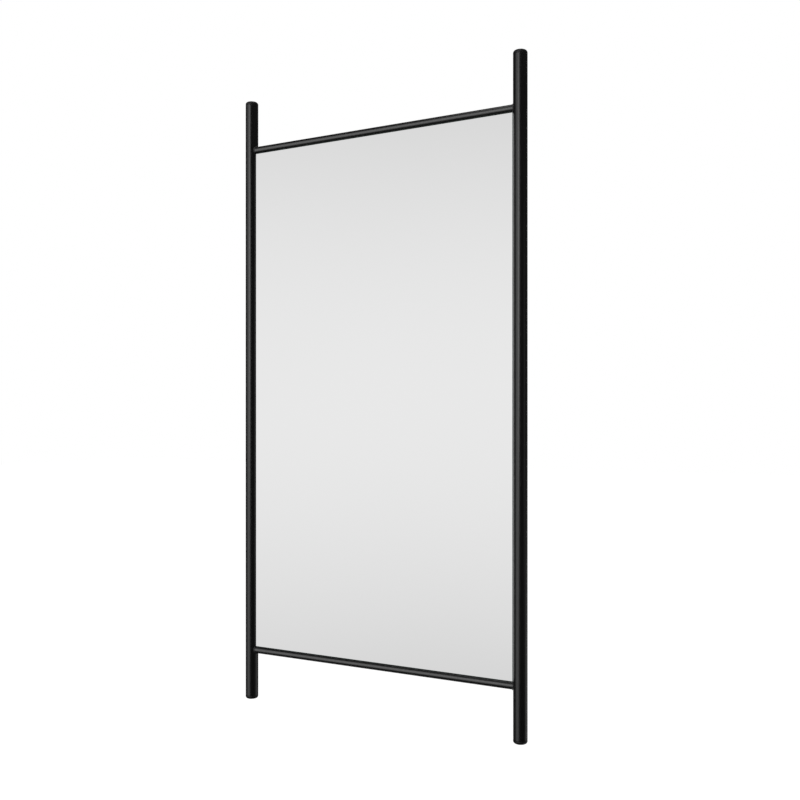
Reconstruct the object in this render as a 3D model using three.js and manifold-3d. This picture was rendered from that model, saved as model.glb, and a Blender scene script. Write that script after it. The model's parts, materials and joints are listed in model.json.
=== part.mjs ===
// A pull-out closet mirror: a tall mirror in a frame of black steel tube, carried on two ball-bearing
// slides that screw to the side panel of a closet through one mounting plate. The mirror pulls straight
// out of the closet and then swivels about an upright barrel behind its leading post.
//
// Millimetres. The origin is the middle of the mounting plate's back face. +X is the way the mirror
// pulls out, +Y points into the closet's side panel and +Z is up. A depth is a distance from that panel
// towards the mirror, so depth d lies at y = -d.

import * as THREE from "three";
import { mergeVertices } from "three/addons/utils/BufferGeometryUtils.js";
import Module from "manifold-3d";

// Mirror frame
const mirrorHeight = 1050; // length of the upright posts, with their caps
const mirrorWidth = 525; // over both posts
const postDiameter = 22;
const postWall = 1.5;
const railDiameter = 12.7;
const railWall = 1.5;
const railInset = 86.5; // from the end of a post to the axis of a rail

// Caps in the ends of the posts
const capHeight = 6;
const capEdgeRadius = 4;
const plugLength = 13;
const plugRibDepth = 1.2;
const plugGroove = 2.6; // width of the groove under a plug's upper rib

// Mirror panel
const glassThickness = 4;
const glassForward = 3.5; // from the plane of the post axes to the face of the glass
const glassArris = 0.3; // ground off the edges of the glass
const boardThickness = 8;
const paneGap = 0.3; // from the edge of the panel to a post or rail

// Steel tabs on the posts that hold the panel from behind
const tabThickness = 2;
const tabHeight = 18;
const tabReach = 12; // over the edge of the panel
const innerTabZ = 175;
const outerTabInset = 63.5; // from the axis of a rail to the tabs next to it

// Mounting plate
const plateLength = 416;
const plateSheet = 2.5;
const plateFlange = 12; // depth of the folded edges
const plateMargin = 17.5; // from a slide to the folded edge
const plateCorner = 8;
const windowWidth = 88;
const windowMargin = 23.5; // from a slide to a window
const windowCorner = 12;
const centreRib = 40;
const fixingDiameter = 5.5;
const fixingPitchZ = 128;
const fixingNearX = 128;
const fixingFarX = 192;

// Ball-bearing slides
const slideSpacing = 220;
const slideLength = 440;
const slideHeight = 45;
const slideDepth = 12.7;
const outerSheet = 1.5;
const middleSheet = 1.2;
const innerSheet = 1.5;
const cageSheet = 0.6;
const webGap = 0.4; // between the nested webs
const ballDiameter = 4.8;
const ballPlay = 0.3;
const innerLip = 1.2; // from the edge of the inner member's flange to its balls
const cageLength = 216;
const cageDrop = 0.8; // from the balls' centres to the cage's strip
const cageOverhang = 0.6; // of the strip past its balls
const ballsPerRow = 4;
const roofEnd = THREE.MathUtils.degToRad(20);
const cradleEnd = THREE.MathUtils.degToRad(-55);
const slideFixingX = 150;
const accessDiameter = 9;
const bufferLength = 5;
const bufferDepth = 6.6;
const bufferHeight = 30;

// Carriage
const carrierSheet = 3;
const carrierWidth = 59;
const carrierOverhang = 30; // of the barrel past a slide's axis
const carrierWindowWidth = 24;
const carrierWindowHeight = 110;
const carrierScrewInset = 10;
const carrierScrewPitch = 28;
const lugRadius = 8.5;
const lugRun = 30; // length of the fold that joins a lug to its plate
const slideSetback = 19.5; // from the front of the slides to the swivel axis
const tieWidth = 30;
const tieEnd = 16; // of the tie bar past a slide's axis

// Swivel
const pivotInset = 12; // from the leading post's axis back to the swivel axis
const pivotSetback = 18.5; // from the plane of the post axes to the swivel axis
const pivotRun = 8.7; // from the carrier's face to the swivel axis
const barrelDiameter = 14;
const pinDiameter = 6;
const pinHeadDiameter = 11;
const pinHeadHeight = 3;
const pinGrip = 25; // of the pin in the barrel
const bushWall = 0.9;
const bushFlangeDiameter = 12;
const bushFlange = 1;

// Saddles that join the barrel to the leading post
const saddleHeight = 36;
const saddleZ = 60;
const saddleWall = 3;
const saddleRing = 2.2;
const saddleStart = THREE.MathUtils.degToRad(64);
const saddleStop = THREE.MathUtils.degToRad(138);
const saddleScrewAngle = THREE.MathUtils.degToRad(84);
const saddleScrewPitch = 20;

// Catch and buffers on the tie bar
const magnetDiameter = 20;
const magnetHeight = 6;
const magnetRim = 1.6;
const magnetRecess = 0.5;
const standoffAcross = 9;
const studDiameter = 4;
const strikeSide = 24;
const strikeThickness = 1.5;
const strikeCorner = 3;
const magnetGap = 0.4;
const domeDiameter = 12;
const domeTip = 8;
const domeZ = 70;

// Screws: thread diameter, head diameter, head height and length under the head
const machineThread = 4;
const machineHead = 7.6;
const machineHeadHeight = 2.4;
const machineLength = 7.5;
const sunkHead = 7.4;
const sunkLength = 3.4;
const saddleScrewLength = 9;
const panelThread = 3.5;
const panelHead = 7;
const panelHeadHeight = 2.2;
const panelLength = 9;

// Clearances
const seatGap = 0.3; // between pieces that sit on each other
const cutRun = 4; // how far a cutting tool runs past the material

// Shares of the sizes that they follow
const headRoundShare = 0.45; // of a pan head's height that is straight
const headTopShare = 0.6; // of a pan head's radius that is flat on top

// Facets
const postSides = 24;
const railSides = 20;
const smallSides = 16;
const screwSides = 10;
const standoffSides = 6;
const arcSteps = 6;
const capSteps = 3;
const cornerSteps = 2;
const ballSides = 6;
const ballRings = 4;

// The upper and the lower half of the mechanism and of the frame, and the way that each one lies along Z
const levels = [
  ["upper", 1],
  ["lower", -1],
];
const bothWays = [-1, 1];

// Places that follow from the sizes above
const postRadius = postDiameter / 2;
const railRadius = railDiameter / 2;
const postX = (mirrorWidth - postDiameter) / 2;
const railZ = mirrorHeight / 2 - railInset;
const outerTabZ = railZ - outerTabInset;
const paneWidth = mirrorWidth - 2 * postDiameter - 2 * paneGap;
const paneHeight = 2 * (railZ - railRadius - paneGap);
const boardBack = glassThickness + boardThickness - glassForward; // behind the post axes
const tabBack = boardBack + seatGap + tabThickness;

const slideZ = slideSpacing / 2;
const slideFront = slideLength / 2;
const slideRear = -slideLength / 2;
const memberRear = slideRear + bufferLength + seatGap;
const slideFaceDepth = plateSheet + seatGap;
const innerFaceDepth = slideFaceDepth + slideDepth;
const carrierDepth = innerFaceDepth + seatGap;
const carrierFaceDepth = carrierDepth + carrierSheet;
const headDepth = carrierFaceDepth + seatGap;

const pivotX = slideFront + slideSetback;
const pivotDepth = carrierFaceDepth + pivotRun;
const mirrorX = pivotX + pivotInset - postX;
const mirrorDepth = pivotDepth + pivotSetback;
const barrelHalf = slideZ + carrierOverhang;
const bushZ = barrelHalf + seatGap;
const lugZ = bushZ + bushFlange + seatGap;
const lugTopZ = lugZ + carrierSheet;
const carrierFront = pivotX - lugRadius;
const carrierRear = carrierFront - carrierWidth;
const tieX = memberRear + seatGap + tieWidth / 2;
const boardBackDepth = mirrorDepth - boardBack;
const magnetFaceDepth = boardBackDepth - seatGap - strikeThickness - magnetGap;

// Cross-section of a slide: u runs from the mounting plate towards the mirror and v runs up
const raceRadius = ballDiameter / 2 + ballPlay;
const outerCageWeb = outerSheet + webGap;
const middleWeb = outerCageWeb + cageSheet + webGap;
const innerCageWeb = middleWeb + middleSheet + webGap;
const innerEdge = innerCageWeb + cageSheet + webGap;
const outerBall = new THREE.Vector2(outerSheet + raceRadius, slideHeight / 2 - outerSheet - raceRadius);
const ballStepU = innerEdge + innerLip - outerBall.x;
const ballStepV = Math.sqrt((2 * raceRadius + middleSheet) ** 2 - ballStepU ** 2);
const innerBall = new THREE.Vector2(outerBall.x + ballStepU, outerBall.y - ballStepV);

const wasm = await Module();
wasm.setup();

// Solids and geometries
function solidOf(geometry) {
  const bare = geometry.clone();
  bare.deleteAttribute("normal");
  bare.deleteAttribute("uv");
  const merged = mergeVertices(bare);
  const vertProperties = merged.attributes.position.array;
  const triVerts = Uint32Array.from(merged.index.array);
  return new wasm.Manifold(new wasm.Mesh({ numProp: 3, vertProperties, triVerts }));
}

function geometryOf(solid) {
  const { numProp, vertProperties, triVerts } = solid.getMesh();
  const shared = new THREE.BufferGeometry();
  shared.setAttribute("position", new THREE.BufferAttribute(vertProperties, numProp));
  shared.setIndex(new THREE.BufferAttribute(triVerts, 1));
  const geometry = shared.toNonIndexed();
  geometry.computeVertexNormals();
  return geometry;
}

function join(...geometries) {
  return geometryOf(geometries.map(solidOf).reduce((sum, next) => sum.add(next)));
}

function cut(geometry, ...tools) {
  return geometryOf(tools.map(solidOf).reduce((rest, tool) => rest.subtract(tool), solidOf(geometry)));
}

// Simple forms, each placed in the frame of the group that it goes into
function block(x, y, z) {
  const box = new THREE.BoxGeometry(x[1] - x[0], y[1] - y[0], z[1] - z[0]);
  return box.translate((x[0] + x[1]) / 2, (y[0] + y[1]) / 2, (z[0] + z[1]) / 2);
}

function uprightRod(radius, length, sides) {
  return new THREE.CylinderGeometry(radius, radius, length, sides).rotateX(Math.PI / 2);
}

function crossRod(radius, length, sides) {
  return new THREE.CylinderGeometry(radius, radius, length, sides).rotateZ(Math.PI / 2);
}

function depthRod(radius, length, sides) {
  return new THREE.CylinderGeometry(radius, radius, length, sides);
}

// A turned piece: its profile holds [radius, height] pairs, and its axis is Y
function turned(profile, sides) {
  return new THREE.LatheGeometry(
    profile.map(([radius, height]) => new THREE.Vector2(radius, height)),
    sides,
  );
}

function roundedRectangle(width, height, corner) {
  const right = width / 2 - corner;
  const top = height / 2 - corner;
  const outline = new THREE.Shape();
  outline.absarc(right, top, corner, 0, Math.PI / 2, false);
  outline.absarc(-right, top, corner, Math.PI / 2, Math.PI, false);
  outline.absarc(-right, -top, corner, Math.PI, 1.5 * Math.PI, false);
  outline.absarc(right, -top, corner, 1.5 * Math.PI, 2 * Math.PI, false);
  return outline;
}

// A flat piece parallel to the closet panel: its outline is drawn in X and Z, and depth is its near face
function sheet(outline, depth, thickness) {
  const extrude = { depth: thickness, bevelEnabled: false, curveSegments: cornerSteps };
  return new THREE.ExtrudeGeometry(outline, extrude).rotateX(Math.PI / 2).translate(0, -depth, 0);
}

// A length of slide section from x = rear to x = front, in the frame of its slide
function slideBar(section, rear, front) {
  const extrude = { depth: front - rear, bevelEnabled: false };
  const bar = new THREE.ExtrudeGeometry(new THREE.Shape(section), extrude);
  const towardMirror = new THREE.Vector3(0, -1, 0);
  const up = new THREE.Vector3(0, 0, 1);
  const back = new THREE.Vector3(-1, 0, 0);
  return bar.applyMatrix4(new THREE.Matrix4().makeBasis(towardMirror, up, back)).translate(front, 0, 0);
}

function arc(centre, radius, from, to, steps) {
  return Array.from({ length: steps + 1 }, (_, step) => {
    const angle = from + ((to - from) * step) / steps;
    return new THREE.Vector2(centre.x + radius * Math.cos(angle), centre.y + radius * Math.sin(angle));
  });
}

// Completes the upper half of a section with its mirror image below
function bothHalves(upper) {
  return [...upper, ...upper.map((p) => new THREE.Vector2(p.x, -p.y)).reverse()];
}

const finishes = {
  blackCoat: { color: 0x1b1b1c, roughness: 0.45, metalness: 0.2 },
  blackPlastic: { color: 0x191919, roughness: 0.5, metalness: 0 },
  silvered: { color: 0xdfe3e4, roughness: 0.03, metalness: 1 },
  darkBoard: { color: 0x2b2926, roughness: 0.85, metalness: 0 },
  zinc: { color: 0xb4b9bd, roughness: 0.35, metalness: 0.9 },
  steel: { color: 0x9a9da0, roughness: 0.3, metalness: 0.9 },
  screw: { color: 0x3a3a3c, roughness: 0.4, metalness: 0.7 },
  acetal: { color: 0xe6e3da, roughness: 0.5, metalness: 0 },
  rubber: { color: 0x202020, roughness: 0.8, metalness: 0 },
};

function piece(name, geometry, finish, place = [0, 0, 0]) {
  const mesh = new THREE.Mesh(geometry, new THREE.MeshStandardMaterial(finishes[finish]));
  mesh.name = name;
  mesh.position.set(...place);
  return mesh;
}

function groupAt(x, y, z, ...members) {
  const group = new THREE.Group();
  group.position.set(x, y, z);
  return group.add(...members);
}

// Screws stand on their own seat: the head is above y = 0 and the thread below it
function panScrew(thread, head, headHeight, length) {
  const radius = thread / 2;
  const top = head / 2;
  return turned(
    [
      [0, -length],
      [radius, -length],
      [radius, 0],
      [top, 0],
      [top, headHeight * headRoundShare],
      [top * headTopShare, headHeight],
      [0, headHeight],
    ],
    screwSides,
  );
}

function sunkScrew() {
  const radius = machineThread / 2;
  const top = sunkHead / 2;
  return turned(
    [
      [0, -sunkLength],
      [radius, -sunkLength],
      [radius, radius - top],
      [top, 0],
      [0, 0],
    ],
    screwSides,
  );
}

// Mounting plate
function mountingPlate() {
  const half = slideZ + slideHeight / 2 + plateMargin;
  const flangeZ = [half - plateSheet, half];
  const flangeX = [plateCorner - plateLength / 2, plateLength / 2 - plateCorner];
  const flangeY = [-plateFlange, 0];
  const body = join(
    sheet(roundedRectangle(plateLength, 2 * half, plateCorner), 0, plateSheet),
    block(flangeX, flangeY, flangeZ),
    block(flangeX, flangeY, [-flangeZ[1], -flangeZ[0]]),
  );
  const windowHeight = slideSpacing - slideHeight - 2 * windowMargin;
  const tools = [];
  for (const side of bothWays) {
    const window = sheet(
      roundedRectangle(windowWidth, windowHeight, windowCorner),
      -cutRun,
      plateSheet + 2 * cutRun,
    );
    tools.push(window.translate((side * (centreRib + windowWidth)) / 2, 0, 0));
    for (const end of bothWays) {
      const slideHole = depthRod(machineThread / 2 + seatGap, plateSheet + 2 * cutRun, screwSides);
      tools.push(slideHole.translate(side * slideFixingX, -plateSheet / 2, end * slideZ));
      for (const column of [fixingNearX, fixingFarX]) {
        const hole = depthRod(fixingDiameter / 2, plateSheet + 2 * cutRun, screwSides);
        tools.push(hole.translate(side * column, -plateSheet / 2, (end * fixingPitchZ) / 2));
      }
    }
  }
  return piece("mounting_plate", cut(body, ...tools), "blackCoat");
}

// Slides
function outerMember() {
  const wall = raceRadius + outerSheet;
  const section = bothHalves([
    ...arc(outerBall, wall, Math.PI, 0, arcSteps),
    ...arc(outerBall, raceRadius, 0, Math.PI, arcSteps),
  ]);
  const bar = slideBar(section, slideRear, slideFront);
  const sink = sunkHead / 2 + seatGap;
  const tools = bothWays.flatMap((side) => {
    const seat = new THREE.CylinderGeometry(sink - outerSheet, sink, outerSheet, screwSides);
    const hole = depthRod(machineThread / 2 + seatGap, outerSheet + 2 * cutRun, screwSides);
    return [
      seat.translate(side * slideFixingX, -outerSheet / 2, 0),
      hole.translate(side * slideFixingX, 0, 0),
    ];
  });
  return cut(bar, ...tools);
}

function accessHoles(depth) {
  return bothWays.map((side) =>
    depthRod(accessDiameter / 2, cutRun, screwSides).translate(side * slideFixingX, -depth, 0),
  );
}

function middleMember() {
  const start = -Math.acos((middleWeb - outerBall.x) / raceRadius);
  const meet = Math.atan2(-ballStepV, ballStepU);
  const web = Math.acos((middleWeb + middleSheet - innerBall.x) / raceRadius);
  const section = bothHalves([
    ...arc(outerBall, raceRadius, start, meet, arcSteps / 2),
    ...arc(innerBall, raceRadius + middleSheet, meet + Math.PI, roofEnd, arcSteps).slice(1),
    ...arc(innerBall, raceRadius, roofEnd, web, arcSteps),
  ]);
  const bar = slideBar(section, memberRear, slideFront);
  return cut(bar, ...accessHoles(middleWeb + middleSheet / 2));
}

function innerMember() {
  const wall = raceRadius + innerSheet;
  const edge = innerEdge - innerBall.x;
  const top = innerBall.y + raceRadius * Math.sin(cradleEnd);
  const bottom = top - innerSheet;
  const bend = Math.asin((bottom - innerBall.y) / wall);
  const section = bothHalves([
    new THREE.Vector2(slideDepth, top),
    ...arc(innerBall, raceRadius, cradleEnd, -Math.acos(edge / raceRadius), arcSteps / 2),
    ...arc(innerBall, wall, -Math.acos(edge / wall), bend, arcSteps / 2),
    new THREE.Vector2(slideDepth - innerSheet, bottom),
  ]);
  const bar = slideBar(section, memberRear, slideFront);
  const web = slideDepth - innerSheet / 2;
  const holes = [tieX, ...carrierScrewXs()].map((x) =>
    depthRod(machineThread / 2 + seatGap, cutRun, screwSides).translate(x, -web, 0),
  );
  return cut(bar, ...accessHoles(web), ...holes);
}

function carrierScrewXs() {
  const rear = carrierRear + carrierScrewInset;
  return [rear, rear + carrierScrewPitch];
}

// A bent strip that keeps the balls of both rows apart, with its balls
function ballCage(web, ball) {
  const edge = ball.x + ballDiameter / 2 + cageOverhang;
  const top = ball.y - cageDrop;
  const section = bothHalves([
    new THREE.Vector2(web, top),
    new THREE.Vector2(edge, top),
    new THREE.Vector2(edge, top - cageSheet),
    new THREE.Vector2(web + cageSheet, top - cageSheet),
  ]);
  const middle = (memberRear + slideFront) / 2;
  const parts = [slideBar(section, middle - cageLength / 2, middle + cageLength / 2)];
  const pitch = cageLength / ballsPerRow;
  for (let index = 0; index < ballsPerRow; index += 1) {
    const x = middle + (index - (ballsPerRow - 1) / 2) * pitch;
    for (const side of bothWays) {
      const sphere = new THREE.SphereGeometry(ballDiameter / 2, ballSides, ballRings).rotateZ(Math.PI / 2);
      parts.push(sphere.translate(x, -ball.x, side * ball.y));
    }
  }
  return join(...parts);
}

function endBuffer() {
  const x = [slideRear, slideRear + bufferLength];
  const y = [-outerSheet - seatGap - bufferDepth, -outerSheet - seatGap];
  return block(x, y, [-bufferHeight / 2, bufferHeight / 2]);
}

function slide([level, side]) {
  const screws = bothWays.map((end, index) => {
    const place = [end * slideFixingX, -outerSheet, 0];
    return facingMirror(piece(`${level}_slide_screw_${index + 1}`, sunkScrew(), "screw", place));
  });
  return groupAt(
    0,
    -slideFaceDepth,
    side * slideZ,
    piece(`${level}_outer_member`, outerMember(), "zinc"),
    piece(`${level}_middle_member`, middleMember(), "zinc"),
    piece(`${level}_inner_member`, innerMember(), "zinc"),
    piece(`${level}_outer_ball_cage`, ballCage(outerCageWeb, outerBall), "steel"),
    piece(`${level}_inner_ball_cage`, ballCage(innerCageWeb, innerBall), "steel"),
    piece(`${level}_end_buffer`, endBuffer(), "rubber"),
    ...screws,
  );
}

// Carriage
// The outline of a lug in X and Y: a fold along the carrier's plate, drawn in to a round eye
function lugOutline() {
  const eye = new THREE.Vector2(pivotX, -pivotDepth);
  const foldFront = new THREE.Vector2(carrierFront, -carrierDepth);
  const foldRear = new THREE.Vector2(carrierFront - lugRun, -carrierFaceDepth);
  const tangent = (point, side) => {
    const away = point.clone().sub(eye);
    return Math.atan2(away.y, away.x) + side * Math.acos(lugRadius / away.length());
  };
  const from = tangent(foldFront, -1);
  const to = tangent(foldRear, 1) - 2 * Math.PI;
  const foldCorner = new THREE.Vector2(foldRear.x, foldFront.y);
  return new THREE.Shape([foldFront, ...arc(eye, lugRadius, from, to, 2 * arcSteps), foldRear, foldCorner]);
}

function carrier() {
  const plate = block(
    [carrierRear, carrierFront],
    [-carrierFaceDepth, -carrierDepth],
    [-lugTopZ, lugTopZ],
  );
  const lug = () =>
    new THREE.ExtrudeGeometry(lugOutline(), { depth: carrierSheet, bevelEnabled: false });
  const body = join(plate, lug().translate(0, 0, lugZ), lug().translate(0, 0, -lugTopZ));
  const window = sheet(
    roundedRectangle(carrierWindowWidth, carrierWindowHeight, carrierWindowWidth / 2),
    carrierDepth - cutRun,
    carrierSheet + 2 * cutRun,
  ).translate((carrierRear + carrierFront) / 2, 0, 0);
  const eyes = uprightRod(pinDiameter / 2 + bushWall + 2 * seatGap, 2 * (lugTopZ + cutRun), smallSides);
  const tools = [window, eyes.translate(pivotX, -pivotDepth, 0)];
  for (const side of bothWays) {
    for (const x of carrierScrewXs()) {
      tools.push(screwHole().translate(x, -carrierDepth, side * slideZ));
    }
  }
  return cut(body, ...tools);
}

function screwHole() {
  return depthRod(machineThread / 2 + seatGap, 2 * (carrierSheet + cutRun), screwSides);
}

function tieBar() {
  const height = 2 * (slideZ + tieEnd);
  const body = sheet(roundedRectangle(tieWidth, height, tieWidth / 2), carrierDepth, carrierSheet);
  const holes = [-slideZ, -domeZ, 0, domeZ, slideZ].map((z) => screwHole().translate(0, -carrierDepth, z));
  return cut(body, ...holes).translate(tieX, 0, 0);
}

function bush() {
  const bore = pinDiameter / 2 + seatGap;
  const outside = bore + bushWall;
  return turned(
    [
      [bore, bushZ],
      [bushFlangeDiameter / 2, bushZ],
      [bushFlangeDiameter / 2, bushZ + bushFlange],
      [outside, bushZ + bushFlange],
      [outside, lugTopZ],
      [bore, lugTopZ],
      [bore, bushZ],
    ],
    smallSides,
  );
}

function standoff() {
  const length = magnetFaceDepth - magnetHeight - seatGap - headDepth;
  const pillar = depthRod(standoffAcross / 2, length, standoffSides);
  const studLength = carrierSheet + 2 * seatGap;
  const stud = depthRod(studDiameter / 2, studLength, screwSides);
  return join(
    pillar.translate(0, -headDepth - length / 2, 0),
    stud.translate(0, studLength / 2 - headDepth, 0),
  );
}

function magnet() {
  const radius = magnetDiameter / 2;
  const cup = radius - magnetRim;
  return turned(
    [
      [0, -magnetHeight],
      [radius, -magnetHeight],
      [radius, 0],
      [cup, 0],
      [cup, -magnetRecess],
      [0, -magnetRecess],
    ],
    smallSides,
  );
}

function domeBuffer() {
  const length = boardBackDepth - magnetGap - headDepth;
  const tip = domeTip / 2;
  const stud = studDiameter / 2;
  return turned(
    [
      [0, -seatGap - carrierSheet],
      [stud, -seatGap - carrierSheet],
      [stud, 0],
      [domeDiameter / 2, 0],
      [tip, length - tip / 2],
      [tip / 2, length],
      [0, length],
    ],
    smallSides,
  );
}

function facingMirror(mesh) {
  mesh.rotation.x = Math.PI;
  return mesh;
}

function machineScrew(name, length, place) {
  return piece(name, panScrew(machineThread, machineHead, machineHeadHeight, length), "screw", place);
}

function swivelBush(level, side) {
  const mesh = piece(`${level}_swivel_bush`, bush(), "acetal", [pivotX, -pivotDepth, 0]);
  mesh.rotation.x = (side * Math.PI) / 2;
  return mesh;
}

function carriage() {
  const onFace = levels.flatMap(([level, side]) => [
    ...carrierScrewXs().map((x, index) =>
      machineScrew(`${level}_carrier_screw_${index + 1}`, machineLength, [x, -headDepth, side * slideZ]),
    ),
    machineScrew(`${level}_tie_bar_screw`, machineLength, [tieX, -headDepth, side * slideZ]),
    piece(`${level}_rubber_buffer`, domeBuffer(), "rubber", [tieX, -headDepth, side * domeZ]),
  ]);
  return groupAt(
    0,
    0,
    0,
    piece("pivot_carrier", carrier(), "blackCoat"),
    piece("rear_tie_bar", tieBar(), "blackCoat"),
    piece("catch_standoff", standoff(), "zinc", [tieX, 0, 0]),
    facingMirror(piece("catch_magnet", magnet(), "steel", [tieX, -magnetFaceDepth, 0])),
    ...onFace.map(facingMirror),
    ...levels.map(([level, side]) => swivelBush(level, side)),
  );
}

// Mirror: from here on, y = 0 is the plane of the post axes and -y is the way the glass faces
function tabXs(side) {
  const edge = side * (paneWidth / 2 - tabReach);
  const root = side * (postX - (postRadius - postWall) / 2);
  return [Math.min(edge, root), Math.max(edge, root)];
}

function tabZs() {
  return [-outerTabZ, -innerTabZ, innerTabZ, outerTabZ];
}

function tabScrewX(side) {
  return side * (paneWidth / 2 - tabReach / 2);
}

function postTube(side) {
  const x = side * postX;
  const length = mirrorHeight - 2 * (capHeight + seatGap);
  const tube = uprightRod(postRadius, length, postSides).translate(x, 0, 0);
  const tabs = tabZs().map((z) =>
    block(tabXs(side), [boardBack + seatGap, tabBack], [z - tabHeight / 2, z + tabHeight / 2]),
  );
  const bore = uprightRod(postRadius - postWall, length + 2 * cutRun, postSides).translate(x, 0, 0);
  const holes = tabZs().map((z) =>
    depthRod(panelThread / 2 + seatGap, tabThickness + 2 * cutRun, screwSides).translate(
      tabScrewX(side),
      tabBack,
      z,
    ),
  );
  const body = cut(join(tube, ...tabs), bore, ...holes);
  return side > 0 ? cut(body, ...saddleScrewHoles()) : body;
}

function saddleScrewHoles() {
  const radius = machineThread / 2 + seatGap;
  return saddleScrewZs().map((z) => {
    const hole = depthRod(radius, postDiameter, screwSides).translate(0, postRadius, 0);
    return hole.rotateZ(saddleScrewAngle - Math.PI / 2).translate(postX, 0, z);
  });
}

function saddleScrewZs() {
  return bothWays.flatMap((side) => bothWays.map((step) => side * saddleZ + (step * saddleScrewPitch) / 2));
}

function rail() {
  const tube = crossRod(railRadius, 2 * postX, railSides);
  const bore = crossRod(railRadius - railWall, 2 * (postX + cutRun), railSides);
  const copes = bothWays.map((side) =>
    uprightRod(postRadius + seatGap, railDiameter + 2 * cutRun, postSides).translate(side * postX, 0, 0),
  );
  return cut(tube, bore, ...copes);
}

// A domed cap with a ribbed plug below y = 0
function postCap() {
  const dome = postRadius - capEdgeRadius;
  const plug = postRadius - postWall - seatGap;
  const core = plug - plugRibDepth;
  const centre = new THREE.Vector2(dome, capHeight - capEdgeRadius);
  const round = arc(centre, capEdgeRadius, 0, Math.PI / 2, capSteps);
  return turned(
    [
      [0, -plugLength],
      [plug, -plugLength],
      [plug, -2 * plugGroove],
      [core, -2 * plugGroove],
      [core, -plugGroove],
      [plug, -plugGroove],
      [plug, 0],
      [postRadius, 0],
      ...round.map((point) => [point.x, point.y]),
      [0, capHeight],
    ],
    postSides,
  );
}

// Glass with its edges ground
function glass() {
  const pane = new THREE.ExtrudeGeometry(roundedRectangle(paneWidth, paneHeight, 0), {
    depth: glassThickness - 2 * glassArris,
    bevelThickness: glassArris,
    bevelSize: glassArris,
    bevelOffset: -glassArris,
    bevelSegments: 1,
  });
  return pane.rotateX(Math.PI / 2).translate(0, glassThickness - glassArris - glassForward, 0);
}

function board() {
  const front = glassThickness - glassForward + seatGap;
  const body = block(
    [-paneWidth / 2, paneWidth / 2],
    [front, boardBack],
    [-paneHeight / 2, paneHeight / 2],
  );
  const depth = panelLength - tabThickness;
  const holes = bothWays.flatMap((side) =>
    tabZs().map((z) =>
      depthRod(panelThread / 2 + seatGap, 2 * depth, screwSides).translate(tabScrewX(side), boardBack, z),
    ),
  );
  return cut(body, ...holes);
}

function barrel() {
  return cut(
    uprightRod(barrelDiameter / 2, 2 * barrelHalf, railSides),
    uprightRod(pinDiameter / 2 + seatGap, 2 * (barrelHalf + cutRun), smallSides),
  );
}

function pivotPin() {
  const head = lugTopZ + seatGap;
  const radius = pinDiameter / 2;
  const headRadius = pinHeadDiameter / 2;
  return turned(
    [
      [0, barrelHalf - pinGrip],
      [radius, barrelHalf - pinGrip],
      [radius, head],
      [headRadius, head],
      [headRadius, head + pinHeadHeight * headRoundShare],
      [headRadius * headTopShare, head + pinHeadHeight],
      [0, head + pinHeadHeight],
    ],
    smallSides,
  );
}

// A ring round the barrel with a wing that wraps the back of the leading post
function saddle() {
  const pivot = new THREE.Vector2(postX - pivotInset, pivotSetback);
  const post = new THREE.Vector2(postX, 0);
  const wingInside = postRadius + seatGap;
  const wingOutside = wingInside + saddleWall;
  const wing = new THREE.Shape([
    ...arc(post, wingOutside, saddleStart, saddleStop, 2 * arcSteps),
    ...arc(post, postRadius, saddleStop, saddleStart, 2 * arcSteps),
  ]);
  const extrude = { depth: saddleHeight, bevelEnabled: false };
  const ringRadius = barrelDiameter / 2 + seatGap + saddleRing;
  const ring = uprightRod(ringRadius, saddleHeight, railSides).translate(pivot.x, pivot.y, 0);
  const wrap = new THREE.ExtrudeGeometry(wing, extrude).translate(0, 0, -saddleHeight / 2);
  const tall = saddleHeight + 2 * cutRun;
  const bore = uprightRod(barrelDiameter / 2 + seatGap, tall, railSides).translate(pivot.x, pivot.y, 0);
  const tube = uprightRod(wingInside, tall, postSides).translate(post.x, 0, 0);
  const holes = bothWays.map((side) => {
    const hole = depthRod(machineThread / 2 + seatGap, postDiameter, screwSides);
    hole.translate(0, postDiameter, 0).rotateZ(saddleScrewAngle - Math.PI / 2);
    return hole.translate(post.x, 0, (side * saddleScrewPitch) / 2);
  });
  return cut(join(ring, wrap), bore, tube, ...holes);
}

function strikePlate() {
  const outline = roundedRectangle(strikeSide, strikeSide, strikeCorner);
  return sheet(outline, -boardBack - seatGap - strikeThickness, strikeThickness);
}

function cap([level, up], side) {
  const name = side > 0 ? "right" : "left";
  const place = [side * postX, 0, up * (mirrorHeight / 2 - capHeight)];
  const mesh = piece(`${name}_post_${level}_cap`, postCap(), "blackPlastic", place);
  mesh.rotation.x = (up * Math.PI) / 2;
  return mesh;
}

function mirrorFrame() {
  return [
    piece("left_post", postTube(-1), "blackCoat"),
    piece("right_post", postTube(1), "blackCoat"),
    ...levels.flatMap((level) => [cap(level, -1), cap(level, 1)]),
    ...levels.map(([level, up]) => piece(`${level}_rail`, rail(), "blackCoat", [0, 0, up * railZ])),
  ];
}

function mirrorPanel() {
  const places = bothWays.flatMap((side) => tabZs().map((z) => [tabScrewX(side), tabBack + seatGap, z]));
  const screw = () => panScrew(panelThread, panelHead, panelHeadHeight, panelLength);
  return [
    piece("mirror_glass", glass(), "silvered"),
    piece("backing_board", board(), "darkBoard"),
    piece("catch_strike_plate", strikePlate(), "zinc", [tieX - mirrorX, 0, 0]),
    ...places.map((place, index) => piece(`panel_screw_${index + 1}`, screw(), "screw", place)),
  ];
}

function pivotPinIn([level, up]) {
  const mesh = piece(`${level}_pivot_pin`, pivotPin(), "zinc", [postX - pivotInset, pivotSetback, 0]);
  mesh.rotation.x = (up * Math.PI) / 2;
  return mesh;
}

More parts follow.
